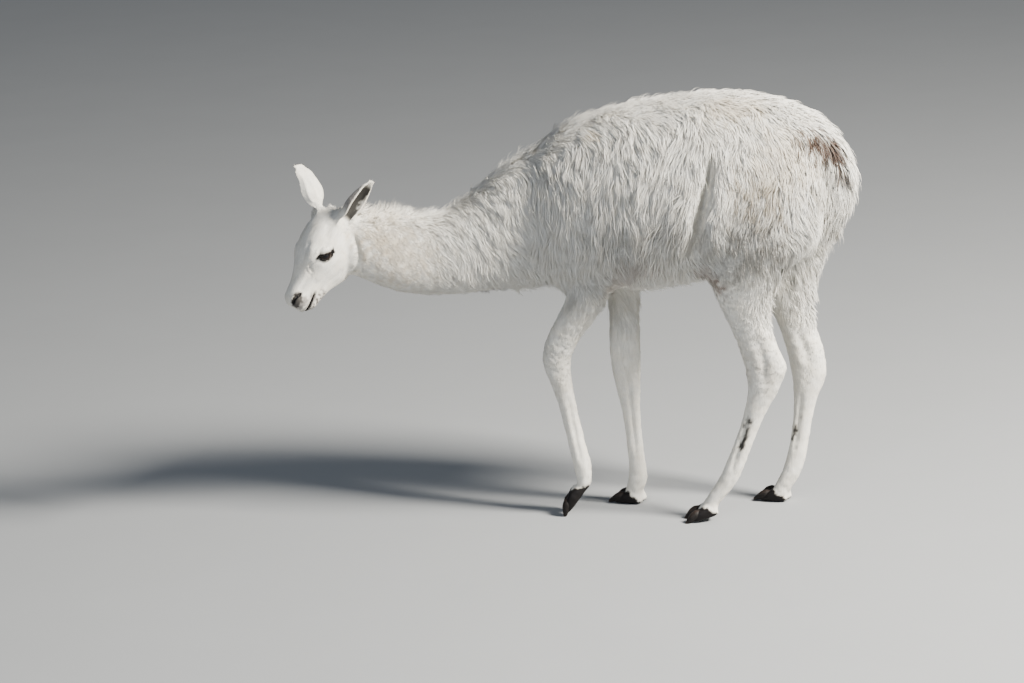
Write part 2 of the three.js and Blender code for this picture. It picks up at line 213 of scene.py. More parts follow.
# Each kind of hair: [length, lift at the root in degrees, depth of the coat, spacing, width, curl 0 to 1].
# Lengths in millimetres.
HAIR = {
    "back": (42, 33, 20, 4.8, 2.8, 0.5),
    "rump": (38, 28, 17, 4.8, 2.7, 0.4),
    "shoulder": (62, 22, 23, 4.8, 2.9, 0.7),
    "flank": (72, 20, 24, 4.7, 2.9, 0.8),
    "belly": (46, 32, 17, 5.6, 3.2, 0.6),
    "haunch": (46, 20, 18, 4.7, 2.8, 0.6),
    "thigh": (25, 18, 9, 4.4, 2.3, 0.5),
    "britches": (52, 36, 20, 4.8, 2.7, 0.4),
    "fringe": (34, 36, 11, 4.8, 2.4, 0.3),
    "bare": (12, 16, 4, 6.0, 2.0, 0.2),
    "mane": (36, 74, 25, 3.5, 2.0, 0.1),
    "crest": (44, 36, 23, 4.7, 2.7, 0.4),
    "neck": (26, 18, 12, 4.2, 2.3, 0.4),
    "nape": (12, 12, 6.5, 3.3, 1.5, 0.2),
    "base": (52, 21, 21, 4.8, 2.8, 0.7),
    "upper": (14, 13, 4.5, 4.4, 1.8, 0.3),
    "leg": (10, 9, 2.4, 4.3, 1.4, 0.2),
    "shin": (8, 8, 1.8, 4.4, 1.2, 0.1),
    "foot": (9, 10, 2.0, 4.0, 1.3, 0.2),
    "face": (7, 9, 2.0, 3.1, 1.1, 0.1),
    "nose": (4.5, 9, 1.3, 3.1, 0.85, 0.1),
    "jaw": (10, 13, 3.0, 3.4, 1.3, 0.2),
    "crown": (15, 34, 6, 3.5, 1.6, 0.3),
    "ear": (5.5, 8, 1.2, 2.7, 1.1, 0.1),
    "tail": (64, 25, 19, 4.7, 2.8, 0.5),
    "dock": (46, 30, 14, 4.7, 2.8, 0.4),
}
# Places of the trunk and neck on both sides:
# [hair, x, distance from the midline, z, flow x, outward, z, reach], in millimetres.
BOTH_SIDES = [
    ("crest", -470, 0, 998, 1, 0, -0.4, 50),
    ("crest", -570, 0, 912, 1, 0, -0.4, 50),
    ("back", -380, 0, 1045, 1, 0, -0.2, 55),
    ("back", -290, 0, 1090, 1, 0, -0.2, 55),
    ("back", -200, 0, 1120, 1, 0, -0.1, 55),
    ("back", -110, 0, 1140, 1, 0, -0.1, 55),
    ("back", -20, 0, 1153, 1, 0, -0.1, 55),
    ("rump", 70, 0, 1158, 1, 0, -0.1, 55),
    ("rump", 160, 0, 1155, 1, 0, -0.1, 55),
    ("rump", 250, 0, 1140, 1, 0, -0.2, 55),
    ("back", -380, 55, 1030, 0.7, 0.4, -0.7, 80),
    ("back", -220, 70, 1105, 0.6, 0.5, -0.6, 80),
    ("back", -60, 85, 1128, 0.5, 0.6, -0.3, 80),
    ("rump", 90, 85, 1142, 0.5, 0.6, -0.3, 80),
    ("rump", 220, 80, 1130, 0.6, 0.5, -0.3, 80),
    ("rump", 330, 50, 1095, 0.8, 0.3, -0.6, 70),
    ("shoulder", -390, 140, 900, 0.4, 0, -1, 100),
    ("shoulder", -300, 170, 1000, 0.6, 0.3, -1, 90),
    ("flank", -200, 190, 880, 0.1, 0, -1, 110),
    ("flank", -140, 190, 1010, 0.1, 0.2, -1, 90),
    ("flank", -20, 215, 900, -0.15, 0, -1, 90),
    ("flank", 45, 205, 930, -0.35, 0, -1, 60),
    ("flank", 30, 205, 820, -0.4, 0, -1, 60),
    ("flank", -40, 200, 1040, 0, 0.2, -1, 80),
    ("flank", -150, 190, 750, 0.1, -0.1, -1, 90),
    ("flank", -20, 190, 740, -0.1, -0.1, -1, 80),
    ("belly", -180, 60, 625, 0.8, 0, -0.4, 80),
    ("belly", -60, 60, 635, 0.8, 0, -0.4, 80),
    ("belly", 40, 60, 665, 0.8, 0, -0.4, 70),
    ("bare", -255, 35, 640, 0.2, 0, -1, 45),
    ("bare", 120, 35, 690, 0.2, 0, -1, 50),
    ("shoulder", -430, 70, 720, 0.5, 0, -1, 80),
    ("shoulder", -340, 130, 760, 0.2, 0, -1, 90),
    ("haunch", 110, 200, 1020, -0.1, 0.1, -1, 80),
    ("haunch", 125, 200, 930, -0.15, 0, -1, 60),
    ("thigh", 120, 205, 860, -0.1, 0, -1, 50),
    ("haunch", 210, 190, 960, -0.1, 0.1, -1, 80),
    ("haunch", 300, 150, 1020, 0.25, 0.1, -1, 80),
    ("haunch", 240, 200, 880, -0.05, 0, -1, 60),
    ("thigh", 200, 205, 820, 0, 0, -1, 60),
    ("haunch", 350, 110, 940, 0.3, 0.2, -1, 70),
    ("thigh", 130, 205, 800, 0.1, 0, -1, 60),
    ("thigh", 210, 200, 760, 0.1, 0, -1, 70),
    ("britches", 350, 120, 830, 0.4, 0.1, -1, 70),
    ("crest", -470, 30, 985, 0.8, 0.3, -0.7, 70),
    ("crest", -560, 30, 905, 0.8, 0.3, -0.6, 70),
    ("crest", -650, 25, 862, 0.8, 0.2, -0.1, 60),
    ("mane", -700, 15, 866, 0.7, 0.1, 0.1, 45),
    ("mane", -770, 12, 876, 0.6, 0.1, 0.2, 45),
    ("mane", -840, 10, 880, 0.5, 0.1, 0.3, 45),
    ("nape", -860, 60, 830, 0.7, 0.1, -0.5, 45),
    ("base", -470, 120, 860, 0.55, 0, -1, 80),
    ("base", -500, 110, 720, 0.4, 0, -1, 80),
    ("neck", -600, 90, 790, 0.5, 0, -0.8, 70),
    ("neck", -600, 70, 680, 0.6, 0, -0.7, 60),
    ("nape", -700, 80, 790, 0.7, 0, -0.6, 60),
    ("nape", -780, 65, 780, 0.8, 0, -0.5, 60),
    ("nape", -720, 50, 670, 0.8, 0, -0.4, 60),
    ("nape", -820, 50, 700, 0.9, 0, -0.3, 60),
    ("neck", -640, 10, 620, 0.8, 0, -0.4, 60),
    ("base", -490, 30, 625, 0.7, 0, -0.6, 70),
]
# Places of the legs and tail: [hair, x, y, z, flow x, y, z, reach], in millimetres.
ONE_SIDE = [
    ("upper", -265, -90, 610, -0.3, 0, -1, 45),
    ("upper", -300, -80, 555, -0.4, 0, -1, 50),
    ("leg", -345, -72, 480, -0.4, 0, -1, 55),
    ("leg", -357, -66, 400, 0.1, 0, -1, 55),
    ("shin", -335, -60, 300, 0.2, 0, -1, 60),
    ("shin", -318, -56, 200, 0.2, 0, -1, 60),
    ("leg", -305, -47, 110, 0.1, 0, -1, 50),
    ("foot", -320, -42, 50, -0.5, 0, -0.8, 45),
    ("upper", -200, 90, 600, 0, 0, -1, 45),
    ("upper", -198, 84, 540, 0, 0, -1, 50),
    ("leg", -198, 76, 420, 0, 0, -1, 55),
    ("leg", -192, 70, 330, 0.1, 0, -1, 55),
    ("shin", -186, 66, 250, 0.1, 0, -1, 60),
    ("shin", -182, 63, 160, 0.1, 0, -1, 60),
    ("leg", -180, 62, 90, 0, 0, -1, 50),
    ("foot", -205, 62, 30, -0.6, 0, -0.5, 45),
    ("thigh", 150, -170, 730, 0.15, 0, -1, 50),
    ("upper", 150, -160, 670, 0.15, 0, -1, 45),
    ("bare", 70, -130, 665, 0.2, 0, -1, 40),
    ("upper", 110, -140, 620, 0.2, 0, -1, 50),
    ("upper", 145, -125, 550, 0.25, 0, -1, 50),
    ("britches", 285, -120, 700, 0.5, 0, -1, 45),
    ("fringe", 225, -105, 610, 0.5, 0, -1, 42),
    ("leg", 185, -100, 470, 0.2, 0, -1, 55),
    ("leg", 205, -94, 385, -0.2, 0, -1, 55),
    ("shin", 165, -92, 280, -0.4, 0, -1, 60),
    ("shin", 130, -91, 190, -0.4, 0, -1, 60),
    ("leg", 92, -90, 110, -0.5, 0, -1, 50),
    ("foot", 35, -86, 40, -0.8, 0, -0.4, 45),
    ("thigh", 225, 170, 730, 0.1, 0, -1, 50),
    ("upper", 225, 160, 670, 0.1, 0, -1, 45),
    ("bare", 130, 120, 680, 0.1, 0, -1, 40),
    ("upper", 190, 130, 620, 0.1, 0, -1, 50),
    ("upper", 215, 120, 540, 0.2, 0, -1, 50),
    ("britches", 345, 110, 700, 0.5, 0, -1, 50),
    ("britches", 325, 105, 630, 0.4, 0, -1, 45),
    ("fringe", 312, 102, 560, 0.4, 0, -1, 42),
    ("leg", 280, 100, 440, 0.2, 0, -1, 55),
    ("leg", 292, 99, 360, -0.1, 0, -1, 55),
    ("shin", 280, 96, 270, -0.1, 0, -1, 60),
    ("shin", 266, 94, 180, -0.2, 0, -1, 60),
    ("leg", 245, 93, 100, -0.3, 0, -1, 50),
    ("foot", 190, 92, 30, -0.7, 0, -0.4, 45),
    ("dock", 375, 0, 1062, 0.7, 0, -0.6, 45),
    ("tail", 415, -45, 985, 0.15, -0.1, -1, 55),
    ("tail", 415, 45, 985, 0.15, 0.1, -1, 55),
    ("tail", 450, 0, 960, 0.3, 0, -1, 55),
    ("tail", 425, -45, 890, 0, -0.05, -1, 55),
    ("tail", 425, 45, 890, 0, 0.05, -1, 55),
    ("tail", 410, 0, 820, -0.1, 0, -1, 60),
]
# Places of the head on both sides, in its own frame:
# [hair, x, distance from the middle, z, flow x, outward, z, reach], in millimetres.
ON_HEAD = [
    ("crown", 20, 12, 42, -0.9, 0.1, 0.6, 24),
    ("face", 60, 25, 54, -1, 0.1, 0, 30),
    ("face", 110, 30, 56, -1, 0.15, 0, 30),
    ("face", 160, 25, 48, -1, 0.2, 0, 30),
    ("nose", 205, 18, 30, -1, 0.2, 0, 28),
    ("nose", 245, 18, 22, -1, 0.2, 0, 26),
    ("nose", 280, 12, 6, -0.6, 0.4, 0.5, 22),
    ("nose", 270, 28, -20, -0.9, 0.2, 0, 24),
    ("nose", 260, 20, -60, -1, 0.1, -0.1, 26),
    ("face", 215, 34, -30, -1, 0.1, -0.1, 26),
    ("face", 180, 45, -20, -1, 0.1, -0.2, 28),
    ("face", 180, 40, -70, -1, 0, -0.2, 28),
    ("face", 130, 60, -60, -1, 0, -0.3, 28),
    ("face", 150, 55, -15, -1, 0.1, -0.3, 24),
    ("face", 95, 64, -10, -1, 0, -0.2, 28),
    ("face", 60, 60, 15, -1, 0.1, 0, 24),
    ("jaw", 80, 52, -60, -1, 0, -0.4, 28),
    ("jaw", 110, 30, -100, -1, 0, -0.3, 28),
    ("jaw", 160, 20, -105, -1, 0, -0.2, 28),
    ("jaw", 50, 40, -45, -1, 0, -0.4, 24),
]
EARS = {  # root, aim and opening in the head's frame; length, and how far the middle bows back
    "left": ((38, 46, 2), (-0.92, 0.38, -0.02), (0.2, 0.95, -0.3), 144, 0.05),
    "right": ((39, -40, 28), (-0.63, -0.46, 0.62), (0.42, 0.08, 0.9), 144, 0.125),
}
EAR_TWIST = {"left": 18, "right": -72}  # degrees that each ear's cup turns about its length
EAR_WIDEN = {"left": (0.25, 0.5), "right": (0.4, 1.2)}  # added shares of its width: overall, and at the tip
EAR_REACH = 26  # of each guide along an ear, in millimetres

# Distances to lines on the sides are measured with depth counted at this share, as the coat has depth.
FLAT = np.array([1, 0.35, 1])
# Partings on both sides, where the coat is short and lies flatter:
# [share of its length lost, half width, line], in millimetres.
PARTINGS = [
    (0.8, 20, [(100, 170, 1005), (88, 180, 960), (75, 182, 905), (62, 180, 850), (50, 174, 795),
               (42, 164, 755)]),
    (0.8, 18, [(380, 88, 985), (386, 92, 930), (384, 100, 880), (374, 110, 830)]),
    (0.5, 30, [(-205, 110, 640), (-190, 110, 700)]),
]


def ear_frame(side, twist=0):
    """An ear's root, its length, its directions up, front and across, and its bow, in the body's frame.

    The front and across directions are turned about the length by twist, in degrees.
    """
    root, aim, opening, length, bow = EARS[side]
    up = unit(np.array(aim, float))
    front = np.array(opening, float)
    front = unit(front - (front @ up) * up)
    across = np.cross(up, front)
    c, s = math.cos(math.radians(twist)), math.sin(math.radians(twist))
    front, across = front * c + across * s, across * c - front * s
    return from_head(np.array(root) * MM), length * MM, HEAD @ up, HEAD @ front, HEAD @ across, bow


def ear_bow(length, bow, t):
    """How far back an ear's middle line lies at a share t of its length: a parabola, bow halfway up."""
    return length * bow * 4 * t * (1 - t)


def ear_line(side):
    """Seven points along the middle of an ear, from root to tip: straight along up, and bowed back."""
    root, length, up, front, _, bow = ear_frame(side)
    t = np.linspace(0, 1, 7)[:, None]
    return root + up * length * t - front * ear_bow(length, bow, t)


def grooming_guides():
    """Every guide of the coat: its place, flow, hair values and reach, as arrays."""
    places, flows, values, reaches = [], [], [], []

    def guide(hair, place, flow, reach):
        places.append(place)
        flows.append(unit(np.asarray(flow, float)))
        values.append(HAIR[hair])
        reaches.append(reach * MM)

    for hair, x, aside, z, fx, out, fz, reach in BOTH_SIDES:
        for side in (-1, 1):
            middle = float(midline(x * MM))
            guide(hair, (x * MM, middle + side * aside * MM, z * MM), (fx, side * out, fz), reach)
    for hair, x, y, z, fx, fy, fz, reach in ONE_SIDE:
        guide(hair, (x * MM, y * MM, z * MM), (fx, fy, fz), reach)
    for hair, x, aside, z, fx, out, fz, reach in ON_HEAD:
        for side in (-1, 1):
            place = from_head(np.array([x, side * aside, z]) * MM)
            guide(hair, place, HEAD @ np.array([fx, side * out, fz]), reach)
    for side in EARS:
        up = ear_frame(side)[2]
        for place in ear_line(side)[1:]:
            guide("ear", place, up, EAR_REACH)
    return np.array(places), np.array(flows), np.array(values), np.array(reaches)


GUIDES = grooming_guides()
AT_ONCE = 20000  # points that are groomed together, to keep the arrays small


def grooming(points):
    """Flow and hair values at points: the guides' own, each weighted by a bell curve of its distance."""
    places, flows, values, reaches = GUIDES
    flow, value = [], []
    for part in np.array_split(points, max(1, len(points) // AT_ONCE)):
        gap = ((part[:, None] - places) ** 2).sum(2) / reaches**2
        gap -= gap.min(1, keepdims=True)
        weight = np.exp(-gap)
        weight /= weight.sum(1, keepdims=True)
        flow.append(weight @ flows)
        value.append(weight @ values)
    flow, value = np.concatenate(flow), np.concatenate(value)
    for side in EARS:
        own = one_ear_share(points, side)[:, None]
        flow += (ear_frame(side)[2] - flow) * own
        value += (np.array(HAIR["ear"]) - value) * own
    length, lift, depth, spacing, width, curl = value.T
    folded = mirrored(points) / MM
    for lost, half, line in PARTINGS:
        near = np.exp(-((to_line(folded * FLAT, np.array(line) * FLAT)[0] / half) ** 2))
        length, lift = length * (1 - lost * near), lift * (1 - 0.4 * near)
        width = width * (1 - 0.3 * near)
    return {
        "flow": flow, "length": length * MM, "lift": np.radians(lift),
        "depth": depth * MM, "spacing": spacing * MM, "width": width * MM, "curl": curl,
    }


# ---- The skin ------------------------------------------------------------------------------------

# Each foot: its heel on the floor in millimetres, the turn of the toes outwards and the pitch of the heel.
FEET = {
    "left_fore": ((-298, -42, 70), 6, 52),
    "right_fore": ((-160, 62, 0), -12, 0),
    "left_hind": ((68, -84, 18), 12, 15),
    "right_hind": ((234, 92, 0), -13, 0),
}
TOE_SPREAD = 5.5  # degrees that each toe points away from the other
TOE_APART = 15 * MM  # from the foot's middle to each toe's, at the heel
FLOOR_GAP = 0.4 * MM  # between the floor and the skin and nails


def toe_frame(foot, hand):
    """A toe's heel and the matrix of its axes, +X forwards along the toe; hand is -1 inside, 1 outside."""
    heel, turn, pitch = FEET[foot]
    matrix = turned(2, 180 + turn) @ turned(1, pitch)
    origin = np.array(heel) * MM + matrix @ np.array([0, TOE_APART * hand, 0])
    return origin, matrix @ turned(2, TOE_SPREAD * hand)


# Each kind of magnifying glass: how far it shifts what is far off, and its reach, in metres.
GLASSES = {
    "eye": (0.026, 0.022), "muzzle": (0.04, 0.036), "head": (0.22, 0.115), "ear": (0.12, 0.06),
    "foot": (0.055, 0.05),
}


def glasses():
    """Magnifying glasses over the eyes, muzzle, head, ears and feet: [centre, far shift, reach], in metres.

    Each spreads the body round its centre, which makes the faces smaller there. They are used in this
    order, so each centre is first carried through the glasses before it.
    """
    found = []

    def glass(kind, centre):
        found.append((spread(centre[None], found)[0], *GLASSES[kind]))

    for side in (1, -1):
        glass("eye", from_head(EYE * [1, side, 1]))
    glass("muzzle", from_head(np.array([272, 0, -20]) * MM))
    glass("head", from_head(np.array([130, 0, -20]) * MM))
    for side in EARS:
        glass("ear", ear_line(side)[5])
    for foot in FEET:
        origin, matrix = toe_frame(foot, 0)
        glass("foot", origin + matrix @ np.array([45, 0, 15]) * MM)
    return found


def spread(points, lenses):
    """Points moved away from each glass's centre: distance r becomes r + shift (1 - exp(-r / reach))."""
    for centre, shift, reach in lenses:
        away = points - centre
        r = np.linalg.norm(away, axis=1, keepdims=True)
        points = points + away / np.maximum(r, 1e-9) * shift * (1 - np.exp(-r / reach))
    return points


def unspread(points, lenses):
    """The inverse of spread, with each distance read back from a table."""
    table = np.concatenate([np.linspace(0, 0.3, 4000), np.linspace(0.3, 4, 2000)[1:]])
    for centre, shift, reach in reversed(lenses):
        away = points - centre
        r = np.linalg.norm(away, axis=1, keepdims=True)
        back = np.interp(r, table + shift * (1 - np.exp(-table / reach)), table)
        points = centre + away / np.maximum(r, 1e-9) * back
    return points


def face_normals(points, faces):
    """The face normals, as long as twice the faces' areas."""
    if faces.shape[1] == 4:
        return np.cross(points[faces[:, 2]] - points[faces[:, 0]], points[faces[:, 3]] - points[faces[:, 1]])
    return np.cross(points[faces[:, 1]] - points[faces[:, 0]], points[faces[:, 2]] - points[faces[:, 0]])


def gather(index, values, count):
    """The sum of the values' rows that share an index."""
    return np.stack([np.bincount(index, values[:, k], count) for k in range(values.shape[1])], axis=1)


def vertex_normals(points, faces):
    """Unit normals at the vertices: the sum of the normals of the faces round each."""
    normals = face_normals(points, faces)
    return unit(sum(gather(faces[:, k], normals, len(points)) for k in range(faces.shape[1])))


def node_soup(name, swell, cuts=2):
    """A CAD node's triangles in the body's frame, moved out by swell and cut in four, cuts times over."""
    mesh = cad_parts[name].data
    mesh.calc_loop_triangles()
    points = read(mesh.vertices, "co", 3)
    faces = read(mesh.loop_triangles, "vertices", 3, np.int32)
    _, first, same = np.unique(np.round(points / 1e-6).astype(np.int64), axis=0, return_index=True,
                               return_inverse=True)
    points, faces = points[first] - SHIFT, same.ravel()[faces]
    points = points + vertex_normals(points, faces) * swell
    soup = points[faces]
    for _ in range(cuts):
        a, b, c = soup[:, 0], soup[:, 1], soup[:, 2]
        ab, bc, ca = (a + b) / 2, (b + c) / 2, (c + a) / 2
        soup = np.concatenate([np.stack(t, axis=1) for t in
                               ((a, ab, ca), (ab, b, bc), (ca, bc, c), (ab, bc, ca))])
    return soup


def edge_ends(quads):
    """The first and the second vertex of every side of every quad."""
    return quads.T.ravel(), np.roll(quads, -1, axis=1).T.ravel()


def biggest_shell(count, faces):
    """Which vertices are on the largest connected surface: the lowest label spreads over its edges."""
    label = np.arange(count)
    a, b = edge_ends(faces)
    while True:
        low = np.minimum(label[a], label[b])
        fresh = label.copy()
        np.minimum.at(fresh, a, low)
        np.minimum.at(fresh, b, low)
        fresh = fresh[fresh]
        if (fresh == label).all():
            break
        label = fresh
    return label == np.bincount(label).argmax()


# How far the solids are moved out before they are joined; the thin ears more, and the nails inwards.
SWELL, EAR_SWELL, NAIL_SWELL = 1.2 * MM, 2.2 * MM, -1.0 * MM


def one_shell(grain):
    """All flesh as one closed quad mesh: the CAD solids, joined by a voxel remesh under the glasses."""
    soups = [node_soup(name, EAR_SWELL if name.startswith("ear") else SWELL) for name in FLESH + EYES]
    soups += [node_soup(name, NAIL_SWELL, 1) for name in NAILS]
    lenses = glasses()
    soup = spread(np.concatenate(soups).reshape(-1, 3), lenses)
    draft = bpy.data.objects.new("draft", mesh_of("draft", soup, np.arange(len(soup)).reshape(-1, 3)))
    bpy.context.scene.collection.objects.link(draft)
    remesh = draft.modifiers.new("join", "REMESH")
    remesh.mode = "VOXEL"
    remesh.voxel_size = grain
    done = bpy.data.meshes.new_from_object(draft.evaluated_get(bpy.context.evaluated_depsgraph_get()))
    points = unspread(read(done.vertices, "co", 3), lenses)
    faces = read(done.loops, "vertex_index", 1, np.int32).reshape(-1, 4)
    for mesh in (draft.data, done):
        bpy.data.meshes.remove(mesh)
    kept = biggest_shell(len(points), faces)
    faces = faces[kept[faces].all(1)]
    return points[kept], (np.cumsum(kept) - 1)[faces]


def blurred(values, faces, rounds, rate):
    """Values at the vertices, drawn towards the mean of their neighbours, as many rounds as said."""
    count = len(values)
    a, b = edge_ends(faces)
    near = np.maximum(np.bincount(a, minlength=count), 1)[:, None]
    for _ in range(rounds):
        values = values + rate * (gather(a, values[b], count) / near - values)
    return values


def head_share(points):
    """1 on the head in front of its join with the neck, 0 behind it."""
    h = to_head(points) / MM
    reach = np.linalg.norm(h - [140, 0, -20], axis=1)
    return ramp(h[:, 0] - 8 - 1.05 * np.maximum(0, -h[:, 2] - 15), -8, 8) * ramp(reach, 260, 200)


def one_ear_share(points, side):
    """1 on the free part of one ear, 0 off it."""
    away, along = to_line(points, ear_line(side))
    return ramp(away, 46 * MM, 34 * MM) * ramp(along, 0.06, 0.22)


def ear_share(points):
    """1 on the free part of either ear, 0 off it."""
    return np.maximum(*(one_ear_share(points, side) for side in EARS))


# Two folds in front of the eye, the one by the eye first.
EYE_FOLDS = [
    [(172, 50, 27), (182, 48, 18), (188, 48, 6)],
    [(190, 40, 22), (197, 43, 12), (198, 46, 3)],
]
# Furrows of the face, on both sides: [line in the head's frame, depth, half width], in millimetres.
# A negative depth is a ridge.
FACE_LINES = [
    ([(158, 60, 16), (172, 52, 20), (188, 43, 22)], 2.2, 2.8),  # tear groove, from the inner corner
    (EYE_FOLDS[0], 2.8, 3.2),
    (EYE_FOLDS[1], 1.8, 3.2),
    ([(128, 36, 48), (150, 33, 46), (172, 31, 40)], 2.2, 8.0),  # valley between forehead and eye
    ([(172, 50, 4), (205, 40, 4), (240, 33, 4)], 2.6, 9.0),  # hollow along the side of the nose
    ([(128, 66, -34), (160, 58, -26), (195, 46, -20)], -2.2, 8.0),  # cheekbone
    ([(150, 50, -70), (190, 40, -55), (222, 34, -48)], 1.6, 8.0),  # hollow over the jaw
    ([(85, 58, 22), (60, 52, 30)], 3.0, 12.0),  # temple
    ([(46, 60, -46), (74, 66, -72), (96, 64, -90), (128, 46, -110), (150, 22, -114)],
     8.0, 7.0),  # behind the cheek
    ([(64, 63, -36), (92, 66, -58), (114, 62, -76), (142, 42, -96)], -3.2, 9.0),  # rear edge of the cheek
    ([(262, 36, -22), (276, 32, -24), (286, 22, -26)], -2.4, 7.0),  # upper lip
    ([(262, 26, -56), (274, 18, -58)], -1.8, 7.0),  # lower lip
    ([(256, 36, 12), (264, 32, 17), (274, 24, 14)], -2.2, 5.0),  # wing of the nostril
]
NOSTRIL = [(256, 36, 2), (262, 34, 7), (270, 29, 7), (278, 23, 2), (284, 18, -5)]
NOSTRIL_DEPTH, NOSTRIL_WIDTH = 10.0, 3.4
# The slit between the lips, seen from the side: [distance forward, height], in millimetres.
MOUTH = [(224, -33), (240, -36), (255, -38), (272, -42), (296, -46)]
EYE_OUT = unit(np.array([0.2, 0.96, 0.1]))  # where the eye looks, in the head's frame
EYE_SLANT = np.array([44.0, -8.0, 38.0])  # from its outer corner to its inner one
# The opening's half length, its heights above and below the middle, the lid's thickness, and how far the
# skin is sunk behind the eyeball's surface, in millimetres.
LID = {"half": 22.5, "top": 4.6, "bottom": 13.0, "thick": 2.0, "sunk": 4.0}
LID_REACH = 34.0  # from the eye's middle, in millimetres; the skin further off stays as it is
CORNER_FOLD = [(-19, 2, 0), (-22.5, 7, 0), (-24.5, 13, 0)]  # up from the outer corner, in the eye's own axes


def eye_axes(side):
    """The eye's directions in the head's frame: towards its inner corner, upwards, and outwards."""
    mirror = np.array([1, side, 1])
    out = EYE_OUT * mirror
    along = EYE_SLANT * mirror
    along = unit(along - (along @ out) * out)
    return along, np.cross(along, out) * side, out


def by_eye(h, side):
    """Where places of the head lie by an eye, in millimetres: along it, up, outwards, and how far off."""
    away = h - EYE * [1, side, 1] / MM
    u, v, w = (away @ axis for axis in eye_axes(side))
    return u, v, w, np.linalg.norm(away, axis=1)


def lid_edge(u):
    """Heights of the upper and lower lid's edge at u along the opening, in millimetres: two flat arcs."""
    arc = np.clip(1 - (u / LID["half"]) ** 2, 0, 1)
    return LID["top"] * arc**0.62 + 0.07 * u * arc, -LID["bottom"] * arc**0.72 + 0.07 * u * arc


def eye_gap(u, v):
    """Signed distance outwards from the opening's edge, about in millimetres."""
    top, bottom = lid_edge(u)
    beyond = np.maximum(np.abs(u) - LID["half"], 0)
    return np.where(beyond > 0, np.hypot(beyond, v), np.maximum(v - top, bottom - v))


def sculpt_eye(h, side):
    """The lids wrapped over the eyeball, and the skin in the opening sunk behind it; h in millimetres."""
    centre = EYE * [1, side, 1] / MM
    u, v, w, r = by_eye(h, side)
    gap = eye_gap(u, v)
    near = (w > -2) & (r < LID_REACH)
    ball = EYE_RADIUS / MM
    # The folds above, below and behind the lids, as heights over the skin.
    top, bottom = lid_edge(np.clip(u, -LID["half"], LID["half"]))
    side_fade = ramp(np.abs(u), 32, 16)
    fold = -1.7 * np.exp(-((v - top - 6.5) / 2.0) ** 2) + 2.4 * np.exp(-((v - top - 13) / 5) ** 2)
    fold += -0.8 * np.exp(-((v - bottom + 7) / 1.6) ** 2) + 0.7 * np.exp(-((v - bottom + 3.6) / 1.8) ** 2)
    rim = 0.7 * np.exp(-((gap - 1.6) / 1.5) ** 2)
    lid = np.maximum(r, ball + LID["thick"] * ramp(gap, -0.4, 1.2))
    crease = to_line(np.column_stack([u, v, 0 * u]), CORNER_FOLD)[0]
    fold -= 1.6 * np.exp(-((crease / 2.2) ** 2))
    outside = lid + (fold * side_fade + rim) * ramp(r, LID_REACH, 26) * ramp(gap, 0.2, 1.5)
    inside = ball - LID["sunk"]
    share = ramp(gap, -1.4, 0.1)
    target = inside + (outside - inside) * share
    moved = centre + (h - centre) / np.maximum(r, 1e-6)[:, None] * target[:, None]
    blend = (ramp(r, LID_REACH, 27) * ramp(w, -2, 3))[:, None]
    return np.where(near[:, None], h + (moved - h) * blend, h)


def lip_height(x):
    """The height of the slit between the lips at x forwards, in millimetres."""
    return np.interp(x, *np.array(MOUTH, float).T)


def sculpt_head(points, normals, weight):
    """Bones, folds, lips and nostrils pressed into the head along its normals, then the lids."""
    h = to_head(points) / MM
    x, y, z = h.T
    folded = mirrored(h)
    push = np.zeros(len(h))
    for line, depth, width in FACE_LINES:
        push -= depth * np.exp(-((to_line(folded, line)[0] / width) ** 2))
    away, share = to_line(folded, NOSTRIL)
    hollow = np.sin(math.pi * np.clip(share * 0.8 + 0.15, 0, 1)) ** 0.5
    push -= NOSTRIL_DEPTH * hollow * np.exp(-((away / NOSTRIL_WIDTH) ** 2))
    push += 1.2 * np.exp(-(((away - 6.5) / 2.4) ** 2)) * ramp(share, 0, 0.3)
    lips = lip_height(x)
    open_ = ramp(x, 224, 246)
    gape = 1.9 + 2.0 * ramp(x, 236, 275)
    push -= 8.5 * open_ * np.exp(-(((z - lips) / gape) ** 2))
    push += 1.0 * open_ * np.exp(-(((np.abs(z - lips) - 6) / 3) ** 2))
    # The cleft of the upper lip, and the lower lip a little behind the upper one.
    cleft = ramp(x, 262, 280) * ramp(z, -44, -38) * ramp(z, 12, 0)
    push -= 2.6 * cleft * np.exp(-((y / 1.8) ** 2))
    push -= 4.0 * ramp(x, 262, 284) * ramp(z, -45, -51)
    # A low bump over the nose bone, and flats beside the brow.
    push += 1.2 * np.exp(-(((x - 215) / 28) ** 2) - (y / 14) ** 2) * ramp(z, 0, 15)
    push -= 1.6 * np.exp(-(((x - 168) / 16) ** 2) - (y / 16) ** 2) * ramp(z, 0, 20)
    front = ramp(x, 40, 62)
    moved = h + (to_head(points + normals) - to_head(points)) * (push * weight * front)[:, None]
    for side in (1, -1):
        moved = sculpt_eye(moved, side)
    return from_head(moved * MM)


